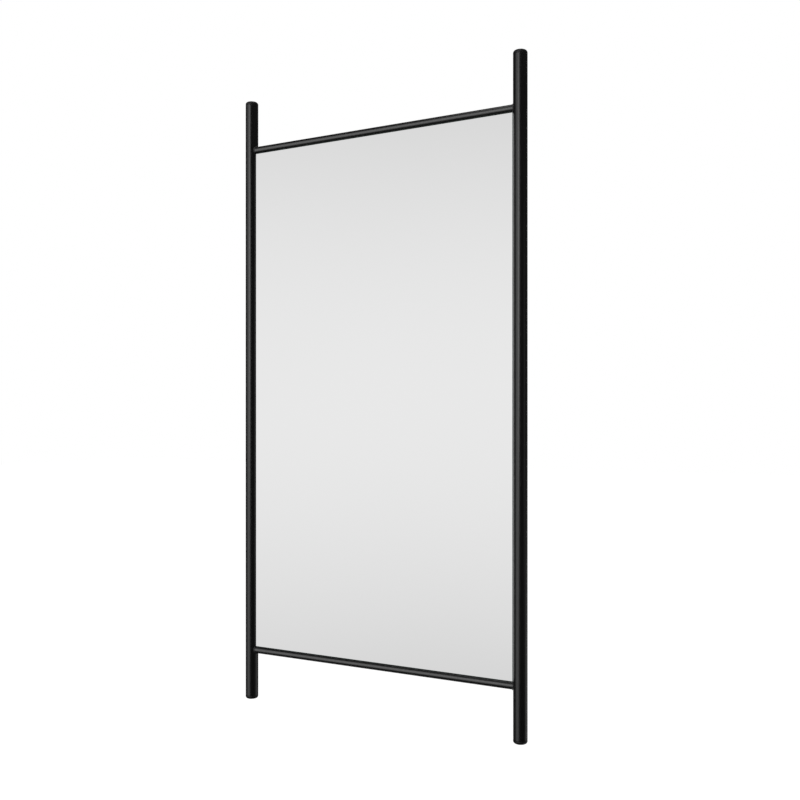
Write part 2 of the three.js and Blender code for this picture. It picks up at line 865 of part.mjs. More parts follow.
function saddleScrew(z, index) {
  const seat = postRadius + saddleWall + 2 * seatGap;
  const place = [postX + seat * Math.cos(saddleScrewAngle), seat * Math.sin(saddleScrewAngle), z];
  const mesh = machineScrew(`saddle_screw_${index + 1}`, saddleScrewLength, place);
  mesh.rotation.z = saddleScrewAngle - Math.PI / 2;
  return mesh;
}

function mirrorSwivel() {
  return [
    piece("swivel_barrel", barrel(), "blackCoat", [postX - pivotInset, pivotSetback, 0]),
    ...levels.map(pivotPinIn),
    ...levels.map(([level, up]) =>
      piece(`${level}_post_saddle`, saddle(), "blackCoat", [0, 0, up * saddleZ]),
    ),
    ...saddleScrewZs().map(saddleScrew),
  ];
}

const closetMirror = groupAt(
  0,
  0,
  0,
  mountingPlate(),
  ...levels.map(slide),
  carriage(),
  groupAt(mirrorX, -mirrorDepth, 0, ...mirrorFrame(), ...mirrorPanel(), ...mirrorSwivel()),
);

export default closetMirror;
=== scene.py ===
"""The looks of a pull-out closet mirror: a tall mirror in a frame of satin black steel tube, carried by
two ball-bearing slides and a swivel behind it. Metres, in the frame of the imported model: +X is the way
the mirror pulls out, -Y the way its glass faces and +Z up. A depth is a distance from the closet panel,
so depth d lies at y = -d."""

import json
import math

import bmesh
import bpy
from mathutils import Matrix, Vector

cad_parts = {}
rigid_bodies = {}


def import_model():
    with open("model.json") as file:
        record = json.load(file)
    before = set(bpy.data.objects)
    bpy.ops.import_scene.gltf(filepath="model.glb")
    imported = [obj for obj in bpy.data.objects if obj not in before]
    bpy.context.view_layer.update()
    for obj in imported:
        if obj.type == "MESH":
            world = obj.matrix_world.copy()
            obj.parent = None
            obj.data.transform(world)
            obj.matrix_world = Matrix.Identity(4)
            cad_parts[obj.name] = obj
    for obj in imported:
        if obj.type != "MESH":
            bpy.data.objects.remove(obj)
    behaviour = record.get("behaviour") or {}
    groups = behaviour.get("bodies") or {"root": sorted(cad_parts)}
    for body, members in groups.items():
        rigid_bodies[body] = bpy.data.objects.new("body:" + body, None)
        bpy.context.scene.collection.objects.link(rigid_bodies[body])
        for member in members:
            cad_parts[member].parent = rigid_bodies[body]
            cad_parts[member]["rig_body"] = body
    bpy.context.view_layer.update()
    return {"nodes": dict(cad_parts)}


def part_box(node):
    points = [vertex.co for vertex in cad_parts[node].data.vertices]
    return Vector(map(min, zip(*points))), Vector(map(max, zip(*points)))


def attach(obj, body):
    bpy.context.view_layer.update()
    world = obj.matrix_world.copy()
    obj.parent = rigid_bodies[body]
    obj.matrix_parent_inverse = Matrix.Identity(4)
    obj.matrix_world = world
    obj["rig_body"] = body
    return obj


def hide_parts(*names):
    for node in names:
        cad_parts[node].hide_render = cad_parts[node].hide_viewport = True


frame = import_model()
scene = bpy.context.scene

# The photograph's camera: pixels, then millimetres, radians and metres
PICTURE_SIDE = 800
FOCAL_PIXELS = 955.6
HORIZON_PIXEL = 420
SENSOR_WIDTH = 36.0
CAMERA_AZIMUTH = math.radians(28.2)
CAMERA_PLACE = Vector((0.775, -1.408, -0.035))

# Floor. The camera sees it in a darker paint, for its shadows, with a glow that makes the rest white.
FLOOR_DROP = 1.2  # from the middle of the mirror to the floor, as it hangs in a closet
FLOOR_SIDE = 40.0
FLOOR_TONE = 0.8
FLOOR_SHADED_TONE = 0.5
FLOOR_GLOW = 0.74

# Studio: sines of elevations, cosines of the angles from a middle, and levels of light
AMBIENT = 0.62
WHITE = (1, 1, 1, 1)
STUDIO_RISE = 0.03  # the elevation at which the studio is brightest
STUDIO_FALL = 2.0  # how fast it darkens above and below
STUDIO_LEAST = 0.80
STUDIO_DARK = 0.045  # what lies beside the soft boxes
PANORAMA_AZIMUTH = math.radians(-28)
PANORAMA_WIDTH = (0.83, 0.985)
PANORAMA_LOW = (-0.55, -0.30)
PANORAMA_HIGH = (0.65, 0.42)
BACKDROP_WIDTH = (0.3, 0.92)
BACKDROP_DIM = 0.55
BACKDROP_LEAST = 0.45
KEY_AZIMUTH = math.radians(-4)
KEY_ELEVATION = math.radians(10)
KEY_WIDTH = (0.962, 0.992)
KEY_BRIGHT = 1.75
SIDE_AZIMUTH = math.radians(89)
SIDE_WIDTH = (0.970, 0.996)
SIDE_BRIGHT = 0.2
BACK_LOW = (-0.06, -0.30)
BACK_SIDE = (0.1, 0.6)
BACK_BRIGHT = 0.5
GAP_AZIMUTH = math.radians(180)  # what the right edges of the posts mirror to the camera
GAP_WIDTH = (0.76, 0.93)

# Lamps, in metres and as the light that their faces give
KEY_PLACE = (-0.35, -5.0, 0.75)
KEY_TARGET = (-0.35, 0, 0.75)
KEY_SIZE = (1.6, 2.2)
KEY_RADIANCE = 1.85
TOP_PLACE = (0.2, -0.6, 2.6)
TOP_SIZE = (1.6, 1.6)
TOP_RADIANCE = 1.2

# Finishes. A noise has its cells to the metre and its octaves, a pair of tones or roughnesses its low
# and high ends, and a height is that of the bumps.
NOISE_MIDDLE = (0.25, 0.75)  # the middle half of a noise
COATS = {
    "black_coat": {"gloss": 0.35, "film": 0.23, "tones": (0.0014, 0.0024)},
    "rail_coat": {"gloss": 1.0, "film": 0.2, "tones": (0.0014, 0.0024)},
    "fitting_coat": {"gloss": 0.35, "film": 0.3, "tones": (0.026, 0.034)},
}
COAT_CLOUD = (14, 3)
COAT_PEEL = (900, 2)
COAT_GRAIN = (5200, 1)
COAT_ROUGHNESS = (0.33, 0.42)
PEEL_HEIGHT = 0.00002
GRAIN_HEIGHT = 0.000004
FILM_HEIGHT = 0.000012
MOULDED = {
    "black_plastic": {
        "gloss": 0.6,
        "grain": (3600, 3),
        "cloud": (120, 2),
        "tones": (0.005, 0.009),
        "rough": (0.38, 0.52),
        "height": 0.00002,
    },
    "rubber": {
        "gloss": 0.35,
        "grain": (2600, 3),
        "cloud": (160, 3),
        "tones": (0.010, 0.020),
        "rough": (0.62, 0.85),
        "height": 0.00003,
    },
}
PLATED = {
    "zinc": {"tone": 0.72, "rough": 0.26, "tint": (0.96, 0.99, 1.0), "drawn": (0.02, 1, 1)},
    "bearing_steel": {"tone": 0.62, "rough": 0.16},
    "screw": {"tone": 0.06, "rough": 0.3},
}
PLATED_LINES = (1400, 2)
PLATED_CLOUD = (28, 3)
PLATED_DULL_SHARE = 0.92
PLATED_ROUGH_SHARES = (0.85, 1.2)
PLATED_HEIGHT = 0.000006
GLASS_IOR = 1.52
GLASS_FACING = 0.9  # how squarely a point of the pane faces along Y to be silvered
GLASS_GROUND = (2500, 2)
GLASS_RIPPLE = (2.5, 1)
# The ground edge: its own green-grey, made pale as a painted glow of light carried through the glass
GLASS_EDGE_AND_PAINTED_GLOW_TONES = (0.70, 0.82)
GLASS_EDGE_TINT = (0.84, 1.0, 0.94)
GLASS_EDGE_ROUGHNESS = 0.4
SILVER_TONES = (0.79, 0.81)
BOARD_GLOSS = 0.3
BOARD_FIBRE = (700, 4)
BOARD_FIBRE_STRETCH = (1, 1, 0.25)
BOARD_CLOUD = (9, 4)
BOARD_TONES = (0.018, 0.034)
BOARD_CLOUD_TONE = 0.024
BOARD_TINT = (1.05, 1, 0.92)
BOARD_ROUGHNESS = (0.7, 0.9)
BOARD_HEIGHT = 0.00003
MAGNET_GRAIN = (1800, 3)
MAGNET_HEIGHT = 0.00001
FERRITE_TONES = (0.020, 0.045)
FERRITE_ROUGHNESS = 0.6
NICKEL_TONES = (0.50, 0.56)
NICKEL_TINT = (1.0, 0.98, 0.94)
NICKEL_ROUGHNESS = (0.18, 0.26)
ACETAL_FLOW = (300, 3)
ACETAL_TONES = (0.72, 0.80)
ACETAL_TINT = (1, 0.98, 0.93)
ACETAL_ROUGHNESS = (0.38, 0.5)
ACETAL_GLOW_SHARE = 0.25
ACETAL_GLOW_DEPTH = 0.001

# Mirror frame
POST_WALL = 0.0015
RAIL_WALL = 0.0015
TUBE_EDGE = 0.00035
TAB_CORNER = 0.003
TAB_ROOT = 0.004  # how far a tab runs into its post
HOLE_PLAY = 0.0003
RAIL_BEAD = 0.0010
TAB_BEAD = 0.0007
BEAD_RIPPLE_SHARE = 0.14
BEAD_RIPPLE_PITCH = 0.0016
BEAD_STEPS = 6
CAP_SHOULDER = 0.004
CAP_CROWN = 0.0003
TAB_SHEET = 0.002
TAB_HEIGHT = 0.018
PANEL_HEAD_HEIGHT = 0.0022
PANEL_SCREWS = {"left": range(1, 5), "right": range(5, 9)}

# Sheet metal
SHEET_EDGE = 0.0003
BEND_RADIUS = 0.0015
BEND_CUTS = 8
FLANGE_CORNER = 0.003
LUG_CORNER = 0.002
PLATE_CORNER = 0.008
PLATE_SHEET = 0.0025
WINDOW_CORNER = 0.012
WINDOW_HALF_HEIGHT = 0.064
WINDOW_NEAR = 0.020
WINDOW_FAR = 0.108
FIXING_RADIUS = 0.00275
FIXING_NEAR = 0.128
FIXING_FAR = 0.192
FIXING_HALF_PITCH = 0.064
CARRIER_SHEET = 0.003
LUG_RADIUS = 0.0085
LUG_RUN = 0.030
CARRIER_SLOT_WIDTH = 0.024
CARRIER_SLOT_HEIGHT = 0.110
CARRIER_SCREWS = (1, 2)

# Slides
OUTER_SHEET = 0.0015
MIDDLE_SHEET = 0.0012
INNER_SHEET = 0.0015
CAGE_SHEET = 0.0006
WEB_GAP = 0.0004
BALL_RADIUS = 0.0024
BALL_PLAY = 0.0003
INNER_LIP = 0.0012
SLIDE_SCREWS = (1, 2)
CAGE_DROP = 0.0008
BALLS_PER_ROW = 12
POCKET_PLAY = 0.0003
ROOF_END = math.radians(20)
CRADLE_END = math.radians(-55)
ACCESS_RADIUS = 0.0045
SLIDE_DRILL = 0.02

# Swivel
PIN_RADIUS = 0.003
BUSH_WALL = 0.0009
BARREL_EDGE = 0.0008
SADDLE_WALL = 0.003
SADDLE_RING = 0.0022
SADDLE_START = math.radians(64)
SADDLE_STOP = math.radians(138)
SADDLE_SCREWS = {"lower": (1, 2), "upper": (3, 4)}
ALL_SADDLE_SCREWS = (*SADDLE_SCREWS["lower"], *SADDLE_SCREWS["upper"])
PIN_CROWN = 0.0011
BUSH_FLANGE = 0.001

# Catch
MAGNET_RIM = 0.0016
MAGNET_RECESS = 0.0005
STUD_RADIUS = 0.002
TURNED_EDGE = 0.0003
BUFFER_RIM = 0.0016
BUFFER_TIP = 0.004
HEXAGON = 6

# Screws
MACHINE_THREAD = 0.002
MACHINE_HOLE = MACHINE_THREAD + HOLE_PLAY
MACHINE_PITCH = 0.0007
MACHINE_HEAD_HEIGHT = 0.0024
SADDLE_SCREW_LENGTH = 0.009
SCREW_TURN = math.radians(37)
PANEL_THREAD = 0.00175
PANEL_PITCH = 0.0016
THREAD_DEPTH_SHARE = 0.16
SHANK_TIP_SHARE = 0.7
RECESS_SHARE = 0.30
RECESS_DEPTH_SHARE = 0.75
RECESS_WING_SHARE = 0.085
RECESS_FLARE_SHARE = 1.2
RECESS_TIP_SHARE = 0.45
RECESS_ABOVE_SHARE = 0.3  # how far the tool stands out of the head, of its depth in it
HEAD_STRAIGHT_SHARE = 0.45
HEAD_TOP_SHARE = 0.6

# Facets
TURN_SIDES = 96
SCREW_SIDES = 32
HOLE_SIDES = 40
ARC_STEPS = 16
EDGE_STEPS = 4
EDGE_SEGMENTS = 2
SHEET_EDGE_STEPS = 1
THREAD_STEPS = 8
MERGE = 0.000001
SHARP = math.radians(32)
FACE_WEIGHT = 100  # smoothed normals follow the large faces, where 50 would be even

UPRIGHT = Matrix.Rotation(math.pi / 2, 4, "X")  # turns Z to -Y, the way the glass faces
LEVELS = {"upper": 1, "lower": -1}
SIDES = {"left": -1, "right": 1}


# Places in the frame
def middle(node):
    low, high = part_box(node)
    return (low + high) / 2


def extent(node):
    low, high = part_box(node)
    return high - low


def body_of(node):
    return frame["nodes"][node]["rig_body"]


def numbered(stem, numbers):
    return [f"{stem}_{number}" for number in numbers]


# Outlines
def arc(centre, radius, start, stop, steps=ARC_STEPS):
    """Points from one angle to the other, both included."""
    x, y = centre[:2]
    turns = [start + (stop - start) * step / steps for step in range(steps + 1)]
    return [Vector((x + radius * math.cos(turn), y + radius * math.sin(turn))) for turn in turns]


def circle(centre, radius, sides=HOLE_SIDES):
    return arc(centre, radius, 0, 2 * math.pi, sides)[:-1]


def rounded_rectangle(low, high, radius):
    left, right = low[0] + radius, high[0] - radius
    bottom, top = low[1] + radius, high[1] - radius
    points = []
    for turn, centre in enumerate([(right, top), (left, top), (left, bottom), (right, bottom)]):
        points += arc(centre, radius, turn * math.pi / 2, (turn + 1) * math.pi / 2, 2 * EDGE_STEPS)
    return points


def softened(points, radius, closed=False):
    """A polyline with each corner rounded by a short curve, as far as its sides leave room."""
    points = [Vector(point) for point in points]
    result = []
    for index, point in enumerate(points):
        if not closed and index in (0, len(points) - 1):
            result.append(point)
            continue
        back = points[index - 1] - point
        on = points[(index + 1) % len(points)] - point
        reach = min(radius, back.length / 2, on.length / 2)
        first = point + back.normalized() * reach
        last = point + on.normalized() * reach
        for step in range(EDGE_STEPS + 1):
            share = step / EDGE_STEPS
            result.append(first.lerp(point, share).lerp(point.lerp(last, share), share))
    return result


def mirrored(points):
    """An outline from its upper half: the points, then the same points below on the way back."""
    return [*points, *[Vector((x, -y)) for x, y in reversed(points)]]


# Meshes
def link(obj):
    scene.collection.objects.link(obj)
    return obj


def as_object(name, bm):
    """Makes an object of a bmesh, with its faces pointing out."""
    bmesh.ops.remove_doubles(bm, verts=bm.verts, dist=MERGE)
    bmesh.ops.recalc_face_normals(bm, faces=bm.faces)
    mesh = bpy.data.meshes.new(name)
    bm.to_mesh(mesh)
    bm.free()
    return link(bpy.data.objects.new(name, mesh))


def settled(obj):
    """Turns a curve, or a mesh with modifiers, into the plain mesh that it shows."""
    graph = bpy.context.evaluated_depsgraph_get()
    mesh = bpy.data.meshes.new_from_object(obj.evaluated_get(graph))
    plain = link(bpy.data.objects.new(obj.name, mesh))
    bpy.data.objects.remove(obj)
    return plain


def joined(*objects):
    """Puts the meshes of several objects into the first one."""
    bm = bmesh.new()
    for obj in objects:
        bm.from_mesh(obj.data)
    bm.to_mesh(objects[0].data)
    bm.free()
    for obj in objects[1:]:
        bpy.data.objects.remove(obj)
    return objects[0]


def carved(obj, *tools, operation="DIFFERENCE"):
    """Cuts the tools out of a piece, or joins them to it."""
    for tool in tools:
        change = obj.modifiers.new("carve", "BOOLEAN")
        change.operation = operation
        change.solver = "EXACT"
        change.object = tool
    obj = settled(obj)
    for tool in tools:
        bpy.data.objects.remove(tool)
    return obj


def band(bm, ring, following):
    """Faces between two rings that have the same number of points."""
    for index in range(len(ring)):
        corners = (ring[index - 1], ring[index], following[index], following[index - 1])
        bm.faces.new(list(dict.fromkeys(corners)))


def turned(name, profile, sides=TURN_SIDES):
    """A turned piece about Z. Its (radius, height) points run from axis to axis or make a ring."""
    bm = bmesh.new()
    turns = [2 * math.pi * index / sides for index in range(sides)]
    rings = []
    for radius, height in profile:
        if radius > 0:
            places = [(radius * math.cos(turn), radius * math.sin(turn), height) for turn in turns]
            rings.append([bm.verts.new(place) for place in places])
        else:
            rings.append([bm.verts.new((0, 0, height))] * sides)
    for ring, following in zip(rings, rings[1:]):
        band(bm, ring, following)
    if profile[0][0] > 0:
        band(bm, rings[-1], rings[0])
    return as_object(name, bm)


def line_along(curve, places, closed=True):
    """Adds a line through these places to a curve, and gives its points."""
    spline = curve.splines.new("POLY")
    spline.points.add(len(places) - 1)
    for point, place in zip(spline.points, places):
        point.co = (*place, 1)
    spline.use_cyclic_u = closed
    return spline.points


def flat_sheet(name, outlines, thickness):
    """A plate in X and Y, centred on z = 0, with rounded edges: its rim first, then its holes."""
    curve = bpy.data.curves.new(name, "CURVE")
    curve.dimensions = "2D"
    curve.fill_mode = "BOTH"
    curve.extrude = thickness / 2 - SHEET_EDGE
    curve.bevel_depth = SHEET_EDGE
    curve.bevel_resolution = SHEET_EDGE_STEPS
    curve.offset = -SHEET_EDGE
    for outline in outlines:
        line_along(curve, [(x, y, 0) for x, y in outline])
    obj = settled(link(bpy.data.objects.new(name, curve)))
    bm = bmesh.new()
    bm.from_mesh(obj.data)
    bmesh.ops.remove_doubles(bm, verts=bm.verts, dist=MERGE)
    bm.to_mesh(obj.data)
    bm.free()
    return obj


def folded(obj, line, thickness):
    """Rolls what lies past y = line, and below -line, a quarter turn up towards +Z."""
    bm = bmesh.new()
    bm.from_mesh(obj.data)
    neutral = BEND_RADIUS + thickness / 2
    length = neutral * math.pi / 2
    for side in (-1, 1):
        for cut in range(BEND_CUTS + 1):
            place = (0, side * (line + length * cut / BEND_CUTS), 0)
            everything = bm.verts[:] + bm.edges[:] + bm.faces[:]
            bmesh.ops.bisect_plane(bm, geom=everything, plane_co=place, plane_no=(0, 1, 0))
    centre = thickness / 2 + BEND_RADIUS
    for vert in bm.verts:
        past = abs(vert.co.y) - line
        if past <= 0:
            continue
        angle = min(past, length) / neutral
        beyond = max(past - length, 0)
        radius = centre - vert.co.z
        reach = line + radius * math.sin(angle) + beyond * math.cos(angle)
        vert.co.z = centre - radius * math.cos(angle) + beyond * math.sin(angle)
        vert.co.y = math.copysign(reach, vert.co.y)
    bm.to_mesh(obj.data)
    bm.free()
    return obj


def spanned(name, first, second):
    """A solid between two outlines that have the same number of points."""
    bm = bmesh.new()
    near = [bm.verts.new(point) for point in first]
    far = [bm.verts.new(point) for point in second]
    bm.faces.new(near)
    bm.faces.new(far)
    band(bm, near, far)
    return as_object(name, bm)


def swept(name, section, start, stop):
    """A bar along X whose outline holds (depth, height) points."""
    return spanned(name, *[[(x, -depth, height) for depth, height in section] for x in (start, stop)])


def prism(name, outline, low, high):
    """A solid along Z over an outline in X and Y."""
    return spanned(name, *[[(x, y, z) for x, y in outline] for z in (low, high)])


def bead(name, path, radius, closed=False):
    """A weld bead with faint ripples along a path."""
    curve = bpy.data.curves.new(name, "CURVE")
    curve.dimensions = "3D"
    curve.bevel_depth = radius
    curve.bevel_resolution = EDGE_STEPS
    curve.use_fill_caps = True
    run = 0
    for index, point in enumerate(line_along(curve, path, closed)):
        run += (path[index] - path[index - 1]).length if index else 0
        point.radius = 1 + BEAD_RIPPLE_SHARE * math.sin(2 * math.pi * run / BEAD_RIPPLE_PITCH)
    return settled(link(bpy.data.objects.new(name, curve)))


def rod(radius, start, stop, sides=HOLE_SIDES):
    """A plain rod between two points, used as a cutting tool."""
    start, stop = Vector(start), Vector(stop)
    half = (stop - start).length / 2
    tool = turned("tool", [(0, -half), (radius, -half), (radius, half), (0, half)], sides)
    turn = (stop - start).to_track_quat("Z", "Y").to_matrix().to_4x4()
    tool.data.transform(Matrix.Translation((start + stop) / 2) @ turn)
    return tool


def edged(obj, width):
    """Softens the sharp edges of a piece with a bevel modifier."""
    bevel = obj.modifiers.new("edges", "BEVEL")
    bevel.width = width
    bevel.segments = EDGE_SEGMENTS
    bevel.limit_method = "ANGLE"
    bevel.angle_limit = SHARP
    return obj


def dressed(obj, slot, *nodes, look=None):
    """Gives a piece its finish or another look, and lets it stand for its nodes on their body."""
    obj.name = f"{nodes[0]}_fine"
    obj.data.materials.clear()
    obj.data.materials.append(finishes[look or slot])
    obj.data.shade_smooth()
    obj.data.set_sharp_from_angle(angle=SHARP)
    even = obj.modifiers.new("normals", "WEIGHTED_NORMAL")
    even.keep_sharp = True
    even.weight = FACE_WEIGHT
    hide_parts(*nodes)
    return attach(obj, body_of(nodes[0]))


def fitting(obj, node):
    """A hidden steel part: the frame's coat, in a lighter tone that shows its shapes."""
    return dressed(obj, "black_coat", node, look="fitting_coat")


def moved(obj, place, turn=Matrix.Identity(4)):
    obj.data.transform(Matrix.Translation(place) @ turn)
    return obj


def upturned(level):
    """Turns what is drawn for the upper level over for the lower one."""
    return Matrix.Identity(4) if level == "upper" else Matrix.Rotation(math.pi, 4, "X")


# Finishes
finishes = {}


class Nodes:
    """A material or world being wired up."""

    def __init__(self, tree):
        self.tree = tree
        tree.nodes.clear()

    def add(self, kind, **inputs):
        """A node of one kind, with its inputs by name."""
        node = self.tree.nodes.new(f"ShaderNode{kind}")
        for name, value in inputs.items():
            self.put(value, node.inputs[name.replace("_", " ")])
        return node

    def put(self, value, socket):
        if isinstance(value, bpy.types.NodeSocket):
            self.tree.links.new(value, socket)
        else:
            socket.default_value = value

    def fill(self, sockets, *values):
        """Gives values to sockets in their order."""
        for socket, value in zip(sockets, values):
            self.put(value, socket)

    def place(self, kind):
        return self.add("TexCoord").outputs[kind]

    def parts(self, vector):
        return self.add("SeparateXYZ", Vector=vector).outputs

    def noise(self, scale, detail, stretch=(1, 1, 1)):
        """Noise in the object's own metres, drawn out along the axes where stretch is small."""
        spread = self.add("Mapping", Vector=self.place("Object"), Scale=stretch).outputs[0]
        return self.add("TexNoise", Vector=spread, Scale=scale, Detail=detail).outputs["Fac"]

    def ranged(self, value, low, high, ends=NOISE_MIDDLE):
        """Turns a value between two ends into one from low to high."""
        limits = {"From_Min": ends[0], "From_Max": ends[1], "To_Min": low, "To_Max": high}
        return self.add("MapRange", Value=value, **limits).outputs[0]

    def ramp(self, value, ends, low, high):
        """A smooth step from low to high as the value runs from one end to the other."""
        result = self.ranged(value, low, high, ends)
        result.node.interpolation_type = "SMOOTHSTEP"
        return result

    def glow(self, way, towards, width, least, most):
        """A level that grows softly where the way comes close to one direction."""
        return self.ramp(self.vector("DOT_PRODUCT", way, towards), width, least, most)

    def scalar(self, operation, *values):
        node = self.add("Math")
        node.operation = operation
        self.fill(node.inputs, *values)
        return node.outputs[0]

    def chain(self, operation, first, *others):
        """Takes the other values into the first one after another."""
        for other in others:
            first = self.scalar(operation, first, other)
        return first

    def vector(self, operation, *values):
        node = self.add("VectorMath")
        node.operation = operation
        self.fill(node.inputs, *values)
        return node.outputs["Value" if operation == "DOT_PRODUCT" else "Vector"]

    def mix(self, share, first, second):
        """A value between two others."""
        node = self.add("Mix")
        self.fill((node.inputs[0], *node.inputs[2:4]), share, first, second)
        return node.outputs[0]

    def blend(self, share, first, second):
        """A colour between two others."""
        node = self.add("Mix")
        node.data_type = "RGBA"
        ends = [socket for socket in node.inputs if socket.type == "RGBA"]
        self.fill((node.inputs[0], *ends), share, first, second)
        return next(socket for socket in node.outputs if socket.type == "RGBA")

    def shades(self, share, tones, tint=(1, 1, 1)):
        """A colour between two tones of a tint."""
        return self.blend(share, *[grey(tone, tint) for tone in tones])

    def bump(self, height, distance, **under):
        """Bumps on the surface, or on the normal of other bumps."""
        return self.add("Bump", Height=height, Distance=distance, **under).outputs[0]

    def shade(self, **inputs):
        """The shader of a material."""
        shader = self.add("BsdfPrincipled", **inputs)
        self.add("OutputMaterial", Surface=shader.outputs[0])


def grey(value, tint=(1, 1, 1)):
    return (value * tint[0], value * tint[1], value * tint[2], 1)


def finish(name):
    """The nodes of a new material."""
    material = bpy.data.materials.new(name)
    material.use_nodes = True
    finishes[name] = material
    return Nodes(material.node_tree)


def coat(name, gloss, film, tones):
    """Satin powder coat: fine orange peel over a smooth black."""
    nodes = finish(name)
    peel = nodes.noise(*COAT_PEEL)
    waves = nodes.bump(peel, PEEL_HEIGHT)
    nodes.shade(
        Base_Color=nodes.shades(nodes.noise(*COAT_CLOUD), tones),
        Roughness=nodes.ranged(peel, *COAT_ROUGHNESS),
        Specular_IOR_Level=gloss,
        Normal=nodes.bump(nodes.noise(*COAT_GRAIN), GRAIN_HEIGHT, Normal=waves),
        Coat_Weight=1.0,
        Coat_Roughness=film,
        Coat_Normal=nodes.bump(peel, FILM_HEIGHT),
    )


def moulded(name, gloss, grain, cloud, tones, rough, height):
    """Nylon with a spark-eroded grain, or rubber with a dusty bloom."""
    nodes = finish(name)
    skin = nodes.noise(*grain)
    nodes.shade(
        Base_Color=nodes.shades(nodes.noise(*cloud), tones),
        Roughness=nodes.ranged(skin, *rough),
        Specular_IOR_Level=gloss,
        Normal=nodes.bump(skin, height),
    )


def silvered_glass():
    """Silver behind clear glass on the faces, and a green-grey ground edge round the pane, paled by a
    painted glow.
    """
    nodes = finish("silvered_glass")
    facing = nodes.scalar("ABSOLUTE", nodes.parts(nodes.place("Normal"))["Y"])
    face = nodes.scalar("GREATER_THAN", facing, GLASS_FACING)
    # the edge's own green-grey, lightened to a painted glow of light carried in through the glass
    edge = nodes.shades(nodes.noise(*GLASS_GROUND), GLASS_EDGE_AND_PAINTED_GLOW_TONES, GLASS_EDGE_TINT)
    silver = nodes.shades(nodes.noise(*GLASS_RIPPLE), SILVER_TONES)
    nodes.shade(
        Base_Color=nodes.blend(face, edge, silver),
        Metallic=face,
        Roughness=nodes.ranged(face, GLASS_EDGE_ROUGHNESS, 0, (0, 1)),
        Coat_Weight=1.0,
        Coat_Roughness=0,
        Coat_IOR=GLASS_IOR,
    )


def board():
    """Dark fibreboard with a paper face."""
    nodes = finish("board")
    fibre = nodes.noise(*BOARD_FIBRE, BOARD_FIBRE_STRETCH)
    shade = nodes.shades(fibre, BOARD_TONES, BOARD_TINT)
    nodes.shade(
        Base_Color=nodes.blend(nodes.noise(*BOARD_CLOUD), shade, grey(BOARD_CLOUD_TONE, BOARD_TINT)),
        Roughness=nodes.ranged(fibre, *BOARD_ROUGHNESS),
        Specular_IOR_Level=BOARD_GLOSS,
        Normal=nodes.bump(fibre, BOARD_HEIGHT),
    )


def plated(name, tone, rough, tint=(1, 1, 1), drawn=(1, 1, 1)):
    """Bright metal with fine drawing lines along the axis that drawn makes short."""
    nodes = finish(name)
    lines = nodes.noise(*PLATED_LINES, drawn)
    tones = (tone * PLATED_DULL_SHARE, tone)
    nodes.shade(
        Base_Color=nodes.shades(nodes.noise(*PLATED_CLOUD), tones, tint),
        Metallic=1.0,
        Roughness=nodes.ranged(lines, *[rough * share for share in PLATED_ROUGH_SHARES]),
        Normal=nodes.bump(lines, PLATED_HEIGHT),
    )


def magnet():
    """A nickel-plated cup round a dark ferrite core."""
    nodes = finish("magnet")
    away = nodes.vector("SUBTRACT", nodes.place("Object"), middle("catch_magnet"))
    across = nodes.vector("MULTIPLY", away, (1, 0, 1))
    radius = extent("catch_magnet").x / 2 - MAGNET_RIM - MERGE
    core = nodes.scalar("LESS_THAN", nodes.vector("DOT_PRODUCT", across, across), radius**2)
    grain = nodes.noise(*MAGNET_GRAIN)
    ferrite = nodes.shades(grain, FERRITE_TONES)
    nickel = nodes.shades(grain, NICKEL_TONES, NICKEL_TINT)
    nodes.shade(
        Base_Color=nodes.blend(core, nickel, ferrite),
        Metallic=nodes.scalar("SUBTRACT", 1.0, core),
        Roughness=nodes.mix(core, nodes.ranged(grain, *NICKEL_ROUGHNESS), FERRITE_ROUGHNESS),
        Normal=nodes.bump(grain, MAGNET_HEIGHT),
    )


def acetal():
    """Natural white acetal, slightly translucent."""
    nodes = finish("acetal")
    flow = nodes.noise(*ACETAL_FLOW)
    nodes.shade(
        Base_Color=nodes.shades(flow, ACETAL_TONES, ACETAL_TINT),
        Roughness=nodes.ranged(flow, *ACETAL_ROUGHNESS),
        Subsurface_Weight=ACETAL_GLOW_SHARE,
        Subsurface_Scale=ACETAL_GLOW_DEPTH,
    )


for make, table in ((coat, COATS), (moulded, MOULDED), (plated, PLATED)):
    for name, values in table.items():
        make(name, **values)
silvered_glass()
board()
magnet()
acetal()


# Mirror frame
post_radius = extent("left_post_upper_cap").x / 2
post_x = middle("right_post_upper_cap").x
post_y = middle("right_post_upper_cap").y
rail_radius = extent("upper_rail").z / 2


def post(side):
    """A tube with its tabs. The leading post, the right one, is drilled for the saddle screws."""
    node = f"{side}_post"
    low, high = (corner.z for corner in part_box(node))
    solid = [(0, low), (post_radius, low), (post_radius, high), (0, high)]
    axis = Vector((SIDES[side] * post_x, post_y, 0))
    tube = moved(turned("tube", softened(solid, TUBE_EDGE)), axis)
    tabs, beads = zip(*[post_tab(side, screw) for screw in numbered("panel_screw", PANEL_SCREWS[side])])
    past = Vector((0, 0, 2 * high))
    tools = []
    if side == "right":
        tools = [rod(MACHINE_HOLE, *saddle_screw_line(number)) for number in ALL_SADDLE_SCREWS]
    tools.append(rod(post_radius - POST_WALL, axis - past, axis + past, TURN_SIDES))
    tube = carved(carved(tube, *tabs, operation="UNION"), *tools)
    return dressed(joined(tube, *beads), "black_coat", node)


